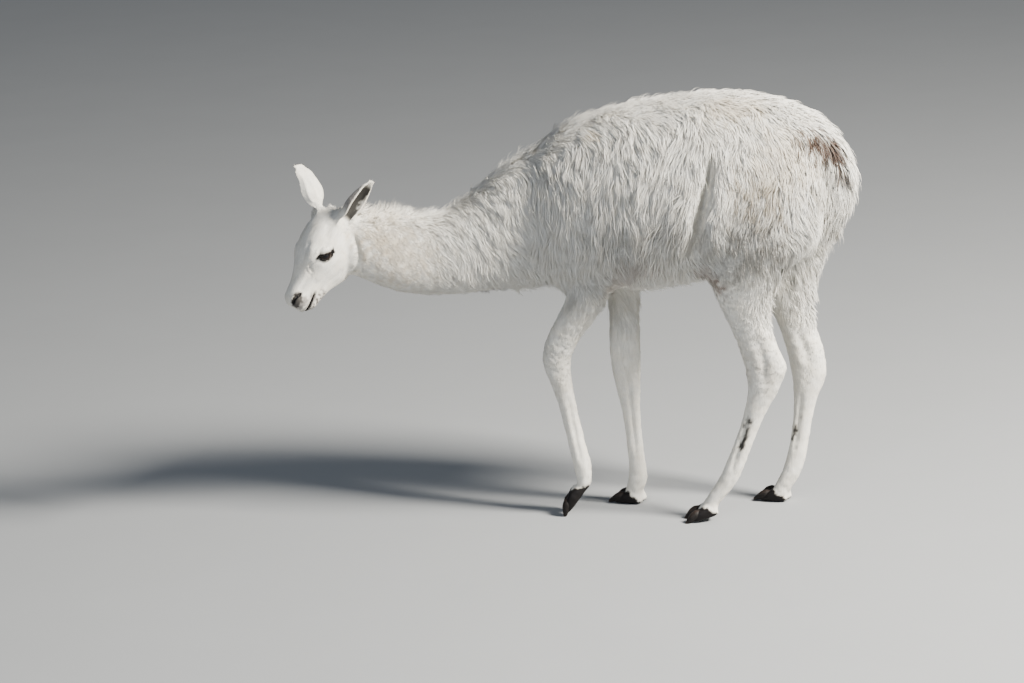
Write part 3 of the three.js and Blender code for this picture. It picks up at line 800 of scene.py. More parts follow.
# Furrows of the body: [line in the body's frame, depth, half width], in millimetres; a ridge is negative.
# The first ones are on both sides.
BOTH_BODY_LINES = [
    ([(98, 182, 1005), (88, 190, 960), (75, 192, 905), (62, 190, 850), (50, 184, 795), (42, 174, 755)],
     34, 14),  # the fold in front of the thigh
    ([(45, 184, 935), (32, 188, 860), (12, 184, 790)], -9, 26),  # the flank in front of it
    ([(125, 192, 930), (110, 194, 850), (95, 180, 780)], -12, 26),  # the thigh behind it
    ([(376, 84, 975), (384, 88, 920), (380, 100, 870), (368, 106, 820)], 20, 13),  # beside the tail
]
LEG_LINES = [
    ([(-330, -75, 330), (-318, -72, 240), (-306, -68, 160)], 5.5, 5.5),  # tendon of the left fore cannon
    ([(-186, 44, 320), (-181, 42, 240), (-176, 40, 150)], 7.0, 5.5),  # tendon of the right fore cannon
    ([(-200, 50, 400), (-186, 42, 345), (-184, 42, 300)], 6.5, 6.5),  # hollow inside the right knee
    ([(158, -118, 300), (138, -116, 230), (112, -117, 150)], 7.5, 6),  # tendon of the left hind cannon
    ([(196, -128, 500), (210, -122, 445), (208, -120, 395)], 6.5, 11),  # hollow outside the left hock
    ([(225, -112, 520), (238, -106, 460)], -2.5, 8),  # cord above the left hock
    ([(276, 70, 300), (266, 68, 230), (254, 66, 150)], 7.0, 6),  # tendon of the right hind cannon
    ([(282, 70, 470), (300, 68, 400)], 7.0, 10),  # hollow inside the right hock
]
BODY_LINES = [
    (np.array(line) * [1, side, 1], depth, width)
    for line, depth, width in BOTH_BODY_LINES for side in (-1, 1)
]
BODY_LINES += [(np.array(line), depth, width) for line, depth, width in LEG_LINES]
# Wrinkles: [centre, radius, depth, distance between them], in millimetres.
WRINKLES = [
    ((-350, -100, 455), 60, 2.0, 14),
    ((160, -130, 530), 80, 1.4, 19),
    ((190, -120, 420), 60, 1.5, 15),
    ((270, 75, 430), 60, 1.8, 14),
    ((-195, 50, 380), 55, 1.0, 14),
    ((110, -145, 650), 60, 1.8, 20),
]


def sculpt_body(points, normals):
    """Folds, tendons, hocks and the cleft between the toes, pressed into the skin along its normals."""
    p = points / MM
    push = np.zeros(len(p))
    for line, depth, width in BODY_LINES:
        away, share = to_line(p * FLAT, line * FLAT)
        fade = np.sin(math.pi * np.clip(0.12 + share * 0.76, 0, 1)) ** 0.6
        push -= depth * fade * np.exp(-((away / width) ** 2))
    for centre, radius, depth, pitch in WRINKLES:
        near = np.exp(-(((p - centre) ** 2).sum(1) / radius**2))
        wave = p[:, 2] + 0.35 * p[:, 0] + 7 * ripple(p, 60, 5) + 2.5 * ripple(p, 22, 6)
        push += depth * near * np.sin(2 * math.pi * wave / pitch)
    push += 0.35 * ripple(p, 26, 7) * ramp(p[:, 2], 620, 500)
    for foot in FEET:
        origin, matrix = toe_frame(foot, 0)
        toe = (p - origin / MM) @ matrix
        cleft = np.exp(-((toe[:, 1] / 3.5) ** 2)) * ramp(toe[:, 0], 8, 30) * ramp(toe[:, 2], -4, 8)
        push -= 7 * cleft * ramp(np.linalg.norm(toe, axis=1), 125, 105)
    return points + normals * (push * MM)[:, None]


def sculpt_ears(points):
    """Each ear's cup turned about its bowed length, narrowed near the root and widened towards the tip."""
    for side in EARS:
        root, length, up, front, across, bow = ear_frame(side)
        axes = np.stack([up, front, across], axis=1)
        local = (points - root) @ axes
        away, _ = to_line(points, ear_line(side))
        t = local[:, 0] / length
        on_ear = ramp(away, 50 * MM, 42 * MM)
        own = on_ear * ramp(t, 0.02, 0.3)
        bent = -ear_bow(length, bow, t)
        turn = np.radians(EAR_TWIST[side]) * own
        whole, tip = EAR_WIDEN[side]
        widening = 1 + own * (whole * ramp(t, 0.1, 0.5) + tip * ramp(t, 0.66, 0.97))
        f, c = local[:, 1] - bent, local[:, 2] * widening
        waist = 1 - 0.1 * on_ear * ramp(t, 0.0, 0.1) * ramp(t, 0.42, 0.2)
        f, c = f * waist, c * waist
        turned_f = f * np.cos(turn) - c * np.sin(turn) + bent
        turned_c = f * np.sin(turn) + c * np.cos(turn)
        points = root + np.column_stack([local[:, 0], turned_f, turned_c]) @ axes.T
    return points


def skin_surface(grain):
    """The skin's points and faces: the CAD flesh smoothed, sunk by the coat's depth, and sculpted."""
    points, faces = one_shell(grain)
    ear = ear_share(points)
    wool = ramp(grooming(points)["depth"], 4 * MM, 12 * MM)
    rate = np.clip(0.42 - 0.34 * ear + 0.1 * wool, 0, 0.6)[:, None]
    points = blurred(points, faces, 12, rate)
    rate = np.clip(0.3 + 0.3 * wool, 0, 0.6) * (1 - 0.85 * ear)
    points = blurred(points, faces, 14, rate[:, None])
    normals = vertex_normals(points, faces)
    depth = blurred(grooming(points)["depth"][:, None], faces, 3, 0.5)
    points = points - normals * depth
    points = blurred(points, faces, 3, (0.4 * (1 - ear))[:, None])
    points = sculpt_body(points, blurred(vertex_normals(points, faces), faces, 3, 0.5))
    head, ear = head_share(points), ear_share(points)
    points = sculpt_head(points, vertex_normals(points, faces), head * (1 - ear))
    points = sculpt_ears(points)
    return np.column_stack([points[:, :2], np.maximum(points[:, 2], FLOOR_GAP)]), faces


# ---- Markings ------------------------------------------------------------------------------------

# How soft the edge of each kind of mark is, as a share of the mark's reach.
SOFTNESS = {"brown": 0.45, "tan": 1.0, "black": 0.45, "bare": 0.45, "grime": 1.0}
# Each mark: [name, strength, reach, line in the body's frame], in millimetres. Its edge is broken by noise.
MARKS = [
    ("brown", 0.6, 14, [(318, -130, 1043), (344, -114, 1038)]),
    ("brown", 1.0, 33, [(366, -98, 1024), (388, -74, 1010), (404, -54, 996)]),
    ("brown", 1.0, 31, [(402, -60, 998), (412, -55, 988)]),
    ("brown", 0.9, 15, [(426, -54, 921), (432, -50, 912)]),
    ("brown", 0.55, 17, [(72, -150, 672), (88, -152, 652)]),
    ("tan", 0.8, 11, [(-226, -117, 1064), (-220, -118, 1058)]),
    # painted warm sunlight: the tan on the rump and on the neck behind the head; the small spot above is a
    # stain
    ("tan", 0.5, 40, [(120, -100, 1128), (190, -86, 1132)]),
    ("tan", 0.45, 60, [(300, -140, 1010), (250, -170, 930)]),
    ("tan", 0.5, 26, [(-806, -211, 822), (-790, -212, 786)]),
    ("tan", 0.35, 60, [(-770, -195, 830), (-745, -190, 740)]),
    # painted shade: black lines in the tendon grooves of the hind cannons
    ("black", 1.0, 8.5, [(158, -118, 280), (149, -116, 252), (141, -116, 226), (132, -116, 208)]),
    ("black", 1.0, 6.5, [(264, 72, 236), (257, 72, 206), (246, 78, 180)]),
    ("bare", 0.6, 24, [(60, -140, 690), (78, -150, 670), (96, -152, 645)]),
    ("bare", 0.5, 28, [(-176, -100, 640), (-140, -160, 680), (-105, -172, 700)]),
    ("bare", 0.5, 28, [(-176, 100, 640), (-140, 160, 680), (-105, 172, 700)]),
    ("bare", 0.7, 30, [(60, 120, 690), (100, 140, 660)]),
    ("grime", 0.4, 30, [(-1010, -205, 700), (-1040, -205, 650)]),
    ("grime", 0.3, 26, [(-960, -215, 800), (-985, -195, 830)]),
    ("grime", 1.0, 52, [(168, -201, 780), (215, -204, 800), (205, -198, 860), (250, -182, 735)]),
    ("grime", 0.9, 40, [(137, -186, 713), (250, -180, 732)]),
    ("grime", 0.55, 46, [(-640, -168, 765), (-703, -177, 800), (-766, -205, 788)]),
    ("grime", 0.3, 60, [(-560, -160, 740), (-640, -150, 700), (-740, -160, 690)]),
    ("grime", 0.6, 60, [(-151, -195, 756), (-69, -206, 772), (20, -200, 760)]),
    ("grime", 0.8, 28, [(387, -102, 950), (391, -106, 907), (387, -123, 868)]),
    ("grime", 0.4, 40, [(-193, -134, 660), (-280, -110, 620)]),
    ("grime", 0.4, 70, [(-100, 200, 760), (60, 200, 770), (200, 195, 790)]),
    ("grime", 0.45, 46, [(180, -110, 480), (205, -96, 400)]),
    ("grime", 0.35, 46, [(-345, -72, 450), (-335, -62, 330)]),
]


def ear_places(points, side):
    """Where points lie by an ear: up it, forward of its middle line and across it, in millimetres.

    Also says which points are near enough to be on it.
    """
    root, length, up, flat_front, _, bow = ear_frame(side)
    _, _, _, front, across, _ = ear_frame(side, EAR_TWIST[side])
    t = np.clip((points - root) @ up / length, 0, 1)
    line = root + up * (length * t)[:, None] - flat_front * ear_bow(length, bow, t)[:, None]
    away = points - line
    near = np.linalg.norm(away, axis=1) < 50 * MM
    return t * length / MM, away @ front / MM, away @ across / MM, near


EAR_CENTRE = 10.0  # of the cup, in front of the ear's middle line, in millimetres
# Painted shade on each ear: how dark and how grey its hollow is, and how grey its outside; the near ear's
# slit and outside, the far ear's hollow.
EAR_SHADES = {"left": (0.95, 0.0, 0.95), "right": (0.0, 0.35, 0.0)}
NOSE_PATCH = [(262, 35, 4), (269, 32, -4), (280, 24, -6)]  # the dark skin round each nostril
LIP_PATCH = [(262, 38, -18), (272, 34, -20), (282, 28, -20)]  # the grey-brown lip under it
MUZZLE = (245, 0, -25)  # its middle in the head's frame, in millimetres


def round_eye(w, r):
    """1 on the skin round an eye, 0 off it, from how far outwards and how far off it lies."""
    return ramp(w, -4, 2) * ramp(r, 46, 36)


def eye_marks(h, speckle, side):
    """The dark places round an eye as one list, and the grey ones as another; the grey band over the upper
    lid is painted shade.
    """
    u, v, w, r = by_eye(h, side)
    near = round_eye(w, r)
    gap = eye_gap(u, v)
    corner = np.hypot((np.abs(u) - 22) * 0.5, v + 1)
    wedge = ramp(v + 0.95 * u + 12 + speckle, 1.5, -1.5) * ramp(v, -7, -3)
    wedge = wedge * ramp(u, -11, -16) * ramp(u, -28, -26)
    top = lid_edge(np.clip(u, -LID["half"], LID["half"]))[0]
    # painted shade: a grey band over the upper lid, under the brow
    brow = np.exp(-(((v - top - 4.5) / 4.0) ** 2)) * ramp(np.abs(u + 3), 26, 12)
    dark = [near * ramp(gap + 0.5 * speckle, 5.0, 2.6), near * 0.9 * ramp(corner, 4.5, 2.0), near * wedge]
    return dark, [0.85 * near * brow, 0.5 * near * ramp(gap, 8, 3)]


def muzzle_marks(h, speckle):
    """The dark nostrils, lips and folds, and the grey ones, as two lists, with painted shade inside the
    nostrils, in the gap between the lips and in the folds in front of the eye.
    """
    x, _, z = h.T
    folded = mirrored(h)
    nostril, nose, lower = (to_line(folded, line)[0] for line in (NOSTRIL, NOSE_PATCH, LIP_PATCH))
    slit = np.abs(z - lip_height(x))
    muzzle = ramp(np.linalg.norm(h - MUZZLE, axis=1), 85, 70)
    lip = ramp(x, 222, 240) * muzzle
    chin = ramp(x, 205, 230) * ramp(z, -40, -47) * muzzle
    by_fold = [to_line(folded, fold)[0] for fold in EYE_FOLDS]
    folds = np.minimum(by_fold[0], by_fold[1] + 1)
    dark = [
        # painted shade: near black inside the nostril slit
        ramp(nostril + 0.7 * speckle, 8.5, 5.0),
        0.8 * ramp(nose + 1.6 * speckle, 13, 8),
        # the lips' dark edges, and painted shade in the gap between them
        lip * ramp(slit + 0.6 * speckle, 5.5, 3.0),
        0.6 * chin * ramp(speckle, 0.7, 1.2),
    ]
    grey = [
        0.9 * ramp(nose + speckle, 17, 9),
        0.9 * ramp(lower + 2 * speckle, 15, 5),
        lip * ramp(slit, 18, 6) * (0.75 + 0.25 * speckle),
        chin * (0.7 + 0.3 * speckle),
        # painted shade in the folds in front of the eye
        0.4 * ramp(folds + 0.5 * speckle, 5, 1.5),
    ]
    return dark, grey


def ear_marks(points, normals, speckle, side):
    """Painted shade on an ear: its dark hollow as one list, its grey hollow and outside as another."""
    deep_shade, pale, outside = EAR_SHADES[side]
    up, forward, across, own = ear_places(points, side)
    _, _, _, front, sideways, _ = ear_frame(side, EAR_TWIST[side])
    towards = (EAR_CENTRE - forward) * (normals @ front) - across * (normals @ sideways)
    inward = towards / np.maximum(np.hypot(EAR_CENTRE - forward, across), 1)
    middle = ramp(np.abs(across) + speckle, 27, 21) * ramp(up, 10, 26) * ramp(up + 3 * speckle, 136, 116)
    # painted shade in the hollow of the cup
    hollow = own * middle * ramp(inward, -0.05, 0.25)
    # painted shade on the outside of the ear
    back = own * ramp(inward, -0.1, -0.45) * ramp(up, 24, 60) * ramp(up + 4 * speckle, 132, 106)
    return [hollow * deep_shade], [hollow * pale, back * outside]


def head_marks(points, normals):
    """The dark and grey places of the head, 0 to 1: the strongest of every mark at each point."""
    h = to_head(points) / MM
    speckle = ripple(points, 0.011, 31)
    marks = [eye_marks(h, speckle, side) for side in (1, -1)]
    marks.append(muzzle_marks(h, speckle))
    marks += [ear_marks(points, normals, speckle, side) for side in EARS]
    dark, grey = (sum(lists, []) for lists in zip(*marks))
    return np.clip(np.maximum.reduce(dark), 0, 1), np.clip(np.maximum.reduce(grey), 0, 1)


DARK_RISE = {"left_fore": 16}  # how much further up the raised foot is dark, in millimetres


def foot_dark(points):
    """1 on the dark pads and toes, whose upper edge is a ragged notch between the toes."""
    dark = np.zeros(len(points))
    ragged = ripple(points, 0.014, 41) * 2.2 + ripple(points, 0.03, 42) * 2.0
    for foot in FEET:
        for hand in (-1, 1):
            origin, matrix = toe_frame(foot, hand)
            x, y, z = ((points - origin) @ matrix / MM).T
            inward = -y * hand
            own = ramp(inward, 17, 13) * ramp(np.hypot(x - 45, z - 15), 75, 60)
            edge = x - 1.15 * (z - 4) - 1.5 * np.clip(inward, 0, 14) + ragged + DARK_RISE.get(foot, 0)
            front = ramp(edge, -2, 4)
            sole = ramp(z + 0.4 * ragged, 7, 3) * ramp(x, -18, -12)
            dark = np.maximum(dark, own * np.maximum(front, sole))
    return dark


def markings(points, normals):
    """Every marking at points: 0 to 1 by name, as {name: values}."""
    p = points / MM
    edge = 0.22 * ripple(points, 0.028, 21) + 0.14 * ripple(points, 0.011, 22)
    marks = {name: np.zeros(len(p)) for name in SOFTNESS}
    for name, strength, reach, line in MARKS:
        away, _ = to_line(p, line)
        soft = SOFTNESS[name]
        share = strength * ramp(away / reach + edge * (1 + soft), 1 + soft, 1 - soft * 0.7)
        marks[name] = np.maximum(marks[name], share)
    dark, grey = head_marks(points, normals)
    marks["dark"] = np.maximum(dark, foot_dark(points))
    marks["grey"] = grey
    return marks


# ---- Materials -----------------------------------------------------------------------------------


class Value:
    """A number in a material: arithmetic on Values adds Math nodes to it."""

    def __init__(self, shader, socket):
        self.shader, self.socket = shader, socket

    def math(self, operation, first, second):
        """The Value that a Math node makes of two numbers."""
        node = self.shader.node("ShaderNodeMath", {"operation": operation}, {0: first, 1: second})
        return Value(self.shader, node.outputs[0])

    def __add__(self, other):
        return self.math("ADD", self, other)

    def __mul__(self, other):
        return self.math("MULTIPLY", self, other)

    def __sub__(self, other):
        return self.math("SUBTRACT", self, other)

    def __rsub__(self, other):
        return self.math("SUBTRACT", other, self)

    __radd__ = __add__
    __rmul__ = __mul__


class Shader:
    """A material under construction, with its Principled surface."""

    def __init__(self, name, constants):
        self.material = bpy.data.materials.new(name)
        self.material.use_nodes = True
        self.tree = self.material.node_tree
        self.surface = next(n for n in self.tree.nodes if n.type == "BSDF_PRINCIPLED")
        self.set(self.surface, constants)

    def set(self, node, inputs):
        """Gives a node's inputs their values or links."""
        for key, value in inputs.items():
            socket = node.inputs[key]
            if isinstance(value, Value):
                value = value.socket
            if isinstance(value, bpy.types.NodeSocket):
                self.tree.links.new(value, socket)
            else:
                socket.default_value = value

    def node(self, kind, settings, inputs):
        """A new node: its settings first, then its inputs."""
        node = self.tree.nodes.new(kind)
        for key, value in settings.items():
            setattr(node, key, value)
        self.set(node, inputs)
        return node

    def stored(self, name):
        """The number that the mesh keeps under a name."""
        node = self.node("ShaderNodeAttribute", {"attribute_name": name}, {})
        return Value(self, node.outputs["Fac"])

    def place(self, name):
        """The place that the mesh keeps under a name, as a vector."""
        return self.node("ShaderNodeAttribute", {"attribute_name": name}, {}).outputs["Vector"]

    def spot(self):
        """The place on the object itself, as a vector in metres."""
        return self.node("ShaderNodeTexCoord", {}, {}).outputs["Object"]

    def noise(self, place, scale, detail=2.0):
        """Smooth noise from 0 to 1."""
        inputs = {"Vector": place, "Scale": scale, "Detail": detail, "Roughness": 0.6}
        return Value(self, self.node("ShaderNodeTexNoise", {}, inputs).outputs[0])

    def rise(self, value, low, high):
        """0 up to low, 1 from high, smooth between."""
        settings = {"interpolation_type": "SMOOTHSTEP"}
        node = self.node("ShaderNodeMapRange", settings, {0: value, 1: low, 2: high, 3: 0.0, 4: 1.0})
        return Value(self, node.outputs[0])

    def mix(self, share, first, second):
        """A colour between two: the first at a share of 0, the second at 1."""
        return self.node("ShaderNodeMix", {"data_type": "RGBA"}, {0: share, 6: first, 7: second}).outputs[2]

    def bump(self, height, distance, strength, below=None):
        """A normal bumped by a height from 0 to 1, over another normal if one is given."""
        inputs = {"Height": height, "Distance": distance, "Strength": strength}
        if below is not None:
            inputs["Normal"] = below
        return self.node("ShaderNodeBump", {}, inputs).outputs[0]


def rgba(colour, gain=1.0):
    """A colour with its alpha, made brighter or darker by gain."""
    return (*(channel * gain for channel in colour), 1.0)


def marked(shader, colour, look):
    """A coat or skin colour with every marking laid over it, painted shade and painted warm sunlight among
    them.
    """
    place = shader.spot()
    patchy = shader.noise(place, 26.0, 3.0)
    fine = shader.noise(place, 140.0, 2.0)
    colour = shader.mix(shader.rise(patchy, 0.3, 0.75) * 0.34, colour, rgba(look.warm))
    grime = shader.stored("grime") * shader.rise(patchy + fine * 0.5, 0.35, 0.9)
    colour = shader.mix(grime * 0.9, colour, rgba(look.grime))
    # tan stains, and warm sunlight painted on the rump and the neck
    colour = shader.mix(shader.stored("tan") * 0.8, colour, rgba(look.tan))
    colour = shader.mix(shader.stored("bare") * 0.9, colour, rgba(look.skin))
    # grey skin, and painted shade over the upper lids, in the folds in front of the eyes and on the ears
    colour = shader.mix(shader.stored("grey") * (0.55 + fine * 0.6), colour, rgba(look.grey))
    # black includes painted shade in the grooves of the hind cannons
    for name in ("brown", "black"):
        colour = shader.mix(shader.stored(name) * 0.95, colour, rgba(getattr(look, name)))
    # dark skin, pads and lids, and painted shade in the near ear's slit, the nostrils and between the lips
    return shader.mix(shader.stored("dark"), colour, rgba(look.black))


def coat_material(look):
    """Wool and hair: darker at the root as painted shade deep in the coat, paler at the tip, streaked along
    the lock.
    """
    shader = Shader("coat", {"Roughness": 0.72, "Specular IOR Level": 0.2, "Subsurface Weight": 0.3,
                             "Subsurface Radius": (1.0, 0.9, 0.8), "Subsurface Scale": 0.008})
    reach, fleck = shader.stored("reach"), shader.stored("fleck")
    # painted shade: each tuft darker towards its root, deep in the coat
    colour = shader.mix(shader.rise(reach, 0.0, 0.6), rgba(look.wool, 0.92), rgba(look.wool))
    colour = shader.mix(shader.rise(fleck, 0.1, 1.0) * 0.3, colour, rgba(look.wool, 1.08))
    colour = shader.mix(shader.rise(fleck, 0.3, 0.0) * 0.08, colour, rgba(look.grime, 1.35))
    strand = shader.node("ShaderNodeUVMap", {"uv_map": "Strand"}, {}).outputs[0]
    lines = shader.noise(strand, 9.0, 3.0)
    colour = shader.mix(shader.rise(lines, 0.62, 0.38) * 0.12, colour, rgba(look.grime, 1.2))
    shader.set(shader.surface, {"Base Color": marked(shader, colour, look),
                                "Normal": shader.bump(lines, 0.0012, 0.6)})
    return shader.material


def skin_material(look):
    """Short flat fur over skin: streaks along the lie of the hair, and bare places that shine a little."""
    shader = Shader("skin", {"Specular IOR Level": 0.12})
    lie = shader.place("lie")
    streak = shader.noise(lie, 420.0, 3.0)
    clump = shader.noise(lie, 110.0, 3.0)
    tone = shader.rise(streak * 0.6 + clump * 0.5, 0.35, 0.75)
    colour = shader.mix(tone, rgba(look.wool, 0.74), rgba(look.wool, 0.97))
    wool = shader.stored("wool")
    colour = shader.mix(wool, colour, rgba(look.wool, 0.9))
    dark = shader.stored("dark")
    fur = shader.rise(dark + shader.stored("bare"), 0.8, 0.2)
    normal = shader.bump(clump, 0.0016, 0.45 * fur + 0.1)
    normal = shader.bump(streak, 0.0007, 0.55 * fur + 0.1, normal)
    pores = shader.noise(shader.spot(), 900.0, 2.0)
    normal = shader.bump(pores, 0.0005, 0.35 * dark, normal)
    shader.set(shader.surface, {"Base Color": marked(shader, colour, look), "Normal": normal,
                                "Roughness": 0.78 - dark * (0.2 + 0.2 * pores)})
    return shader.material


PUPIL = (0.004, 0.004, 0.006)
IRIS_RIM = (0.02, 0.012, 0.01)
EYE_WHITE = (0.05, 0.035, 0.03)


def eye_material(look):
    """A dark brown iris round a wide level pupil, under a clear wet front."""
    shader = Shader("eye", {"Specular IOR Level": 0.1, "Coat Weight": 0.3, "Coat Roughness": 0.02,
                            "Roughness": 0.25})
    across, high, out = (shader.stored(name) for name in ("across", "high", "out"))
    rays = shader.noise(shader.place("ray"), 9.0, 3.0)
    colour = shader.mix(shader.rise(rays, 0.3, 0.8), rgba(look.eye, 0.4), rgba(look.eye, 1.0))
    wide = across * across * 0.55 + high * high * 2.4
    colour = shader.mix(shader.rise(wide, 0.17, 0.09), colour, rgba(PUPIL))
    colour = shader.mix(shader.rise(out, 0.72, 0.62), colour, rgba(IRIS_RIM))
    colour = shader.mix(shader.rise(out, 0.60, 0.48) * 0.6, colour, rgba(EYE_WHITE))
    shader.set(shader.surface, {"Base Color": colour})
    return shader.material


def nail_material(look):
    """Horn: near black, browner on top as a painted highlight with some wear, with growth ridges."""
    shader = Shader("nail", {"Specular IOR Level": 0.2})
    along, top = shader.stored("along"), shader.stored("top")
    mottle = shader.noise(shader.spot(), 160.0, 3.0)
    length = shader.node("ShaderNodeCombineXYZ", {}, {0: along}).outputs[0]
    rings = shader.noise(length, 30.0)
    # painted highlight: the top of each nail paler, broken into patches like wear
    wear_and_highlight = shader.rise(top, 0.2, 0.9) * shader.rise(mottle, 0.3, 0.7)
    colour = shader.mix(wear_and_highlight * 0.4, rgba(look.nail), rgba(look.horn))
    colour = shader.mix(shader.rise(along, 0.8, 1.0) * 0.4, colour, rgba(look.horn, 1.5))
    normal = shader.bump(rings, 0.0012, 0.5)
    shader.set(shader.surface, {"Base Color": colour, "Roughness": 0.45 + mottle * 0.3,
                                "Normal": shader.bump(mottle, 0.0006, 0.4, normal)})
    return shader.material


def floor_material(look):
    """A plain pale floor with the faintest unevenness."""
    shader = Shader("floor", {"Roughness": 0.9, "Specular IOR Level": 0.1})
    tone = shader.noise(shader.spot(), 3.0, 4.0)
    colour = shader.mix(tone, rgba(look.floor, 0.97), rgba(look.floor, 1.03))
    shader.set(shader.surface, {"Base Color": colour})
    return shader.material


# ---- Tufts ---------------------------------------------------------------------------------------

# The width at each ring of a tuft with three rings and with two, as shares of the tuft's own.
WIDTHS = {3: (0.85, 1.0, 0.55), 2: (1.0, 0.6)}
RIDGE = 0.45  # the ridge's height over a tuft's edges, as a share of the width
ROUNDED = 0.85  # how far a tuft's shading turns from the skin's to its own at its edges
ROOT_DEPTH = 0.8 * MM  # how far under the skin a tuft starts
HAIR_GAP = 2.5 * MM  # between the floor and the hair
PATCH = 0.003  # size of each tuft's patch, as a share of the unwrap's side
PATCH_FILL = 0.9  # share of its patch that a tuft takes up
STREAKS = (1.6, 0.12)  # a tuft's size across and along on the map of its streaks, which is noise
STREAK_SPREAD = 40  # how far apart on that map tufts may lie
FEW = 600  # with fewer long or short tufts than this, a region's are all made as the other
LONG_HAIR = 24 * MM  # from this length on, a tuft has three rings, and clumps
CLUMPS = [(30 * MM, 0.3, 61), (13 * MM, 0.5, 71)]  # size, pull and seed of each round of clumping


def strands(root, heading, normal, length, lift, rings, rng, curl, droop):
    """The middle lines of tufts: the lift over the skin sinks from root to tip, with a wave to the side.

    Each line starts just under the skin, leaves it at the lift and lies down as it goes, less so where the
    hair stands; the wave grows towards the tip. Returns the places of the rings, and the tip last, as
    [tuft, ring, xyz].
    """
    count = len(root)
    steps = np.linspace(0, 1, rings + 1)
    side = unit(np.cross(normal, heading))
    phase = rng.uniform(0, 2 * math.pi, count)
    turns = rng.uniform(0.6, 1.5, count)
    path = [root - normal * ROOT_DEPTH]
    fall = 0.95 - 0.75 * ramp(lift, 0.85, 1.15)
    for k in range(rings):
        s = (steps[k] + steps[k + 1]) / 2
        angle = lift * (1 - fall * s)
        way = heading * np.cos(angle)[:, None] + normal * np.sin(angle)[:, None]
        way[:, 2] -= droop * s
        swing = curl * 0.55 * np.cos(2 * math.pi * turns * s + phase) * s**0.5
        way = unit(way + side * swing[:, None])
        path.append(path[-1] + way * (length / rings)[:, None])
    return np.stack(path, axis=1)


def clump(path, size, pull, seed):
    """Lines drawn together: each cell of a wavy grid over the roots pulls its lines to their mean."""
    root = path[:, 0]
    wavy = root + size * 0.35 * np.stack([ripple(root, size * 2.5, seed + k) for k in range(3)], axis=1)
    cell = np.floor(wavy / size).astype(np.int64)
    index = np.unique(cell, axis=0, return_inverse=True)[1].ravel()
    members = np.bincount(index)[:, None]
    steps = np.linspace(0, 1, path.shape[1]) ** 1.2
    drawn = path.copy()
    for k in range(1, path.shape[1]):
        mean = gather(index, path[:, k], len(members)) / members
        drawn[:, k] += (mean[index] - path[:, k]) * (pull * steps[k])[:, None]
    return drawn


def tuft_faces(count, rings):
    """The quads and triangles of closed three-sided tufts, whose corners come ring by ring, then the tip."""
    first = (np.arange(count) * (3 * rings + 1))[:, None]
    quads, fans = [], []
    for j in range(3):
        n = (j + 1) % 3
        for k in range(rings - 1):
            quads.append(first + [3 * k + j, 3 * k + n, 3 * k + 3 + n, 3 * k + 3 + j])
        fans.append(first + [3 * rings - 3 + j, 3 * rings - 3 + n, 3 * rings])
    fans.append(first + [0, 2, 1])
    return np.concatenate(quads), np.concatenate(fans)


def add_uv(mesh, name, places):
    """A UV map of a mesh, from the place of each vertex on it."""
    corner = read(mesh.loops, "vertex_index", 1, np.int32).ravel()
    layer = mesh.uv_layers.new(name=name)
    layer.data.foreach_set("uv", places.reshape(-1, 2)[corner].astype(np.float32).ravel())


def tuft_mesh(name, path, normal, width, patch, stored):
    """A mesh of closed three-sided tufts along the lines, each with its patch on the unwrap.

    A tuft's shading follows the skin under it, and turns outwards at its two edges.
    """
    count, rings = len(path), path.shape[1] - 1
    heading = unit(np.diff(path, axis=1))
    heading = unit(np.concatenate([heading[:, :1], heading[:, 1:] + heading[:, :-1]], axis=1))
    side = unit(np.cross(normal[:, None], heading))
    up = np.cross(heading, side)
    profile = np.array(WIDTHS[rings])[None, :, None] * width[:, None, None]
    middle = path[:, :-1]
    corners = np.stack([middle - side * profile / 2, middle + side * profile / 2,
                        middle + up * profile * RIDGE], axis=2)
    points = np.concatenate([corners.reshape(count, -1, 3), path[:, -1:]], axis=1)
    mesh = mesh_of(name, points.reshape(-1, 3) + SHIFT, *tuft_faces(count, rings))
    along = np.append(np.repeat(np.arange(rings) / rings, 3), 1.0)
    across = np.append(np.tile([-0.5, 0.5, 0.0], rings), 0.0)
    shading = normal[:, None, None] + np.stack([-side, side, 0 * side], axis=2) * ROUNDED
    shading = np.concatenate([shading.reshape(count, -1, 3), normal[:, None]], axis=1)
    mesh.normals_split_custom_set_from_vertices(unit(shading.reshape(-1, 3)))
    add_uv(mesh, "OFBake", patch[:, None] + np.stack([across, along - 0.5], axis=1) * PATCH * PATCH_FILL)
    start = rng_of(name).uniform(0, STREAK_SPREAD, (count, 1, 2))
    add_uv(mesh, "Strand", start + np.stack([across, along], axis=1) * STREAKS)
    keep(mesh, "reach", np.tile(along, count))
    for key, values in stored.items():
        keep(mesh, key, np.repeat(values, len(along)))
    return mesh


def rng_of(name):
    """Random numbers that are the same on every run, with a sequence of its own for each name."""
    return np.random.default_rng(sum(ord(letter) * (i + 3) for i, letter in enumerate(name)))


# The coat's regions; their borders, in region_of, are places in the body's frame, in millimetres.
TAIL_LINE = [(356, 0, 1062), (400, 0, 1010), (420, 0, 930), (420, 0, 850), (400, 0, 780)]
REGIONS = [
    "coat_shoulder_left", "coat_shoulder_right", "coat_side_left", "coat_side_right",
    "coat_haunch_left", "coat_haunch_right", "coat_neck_left", "coat_neck_right",
    "coat_leg_left_fore", "coat_leg_right_fore", "coat_leg_left_hind", "coat_leg_right_hind",
    "coat_head", "coat_ears", "coat_tail",
]
NUMBER = {region: number for number, region in enumerate(REGIONS)}


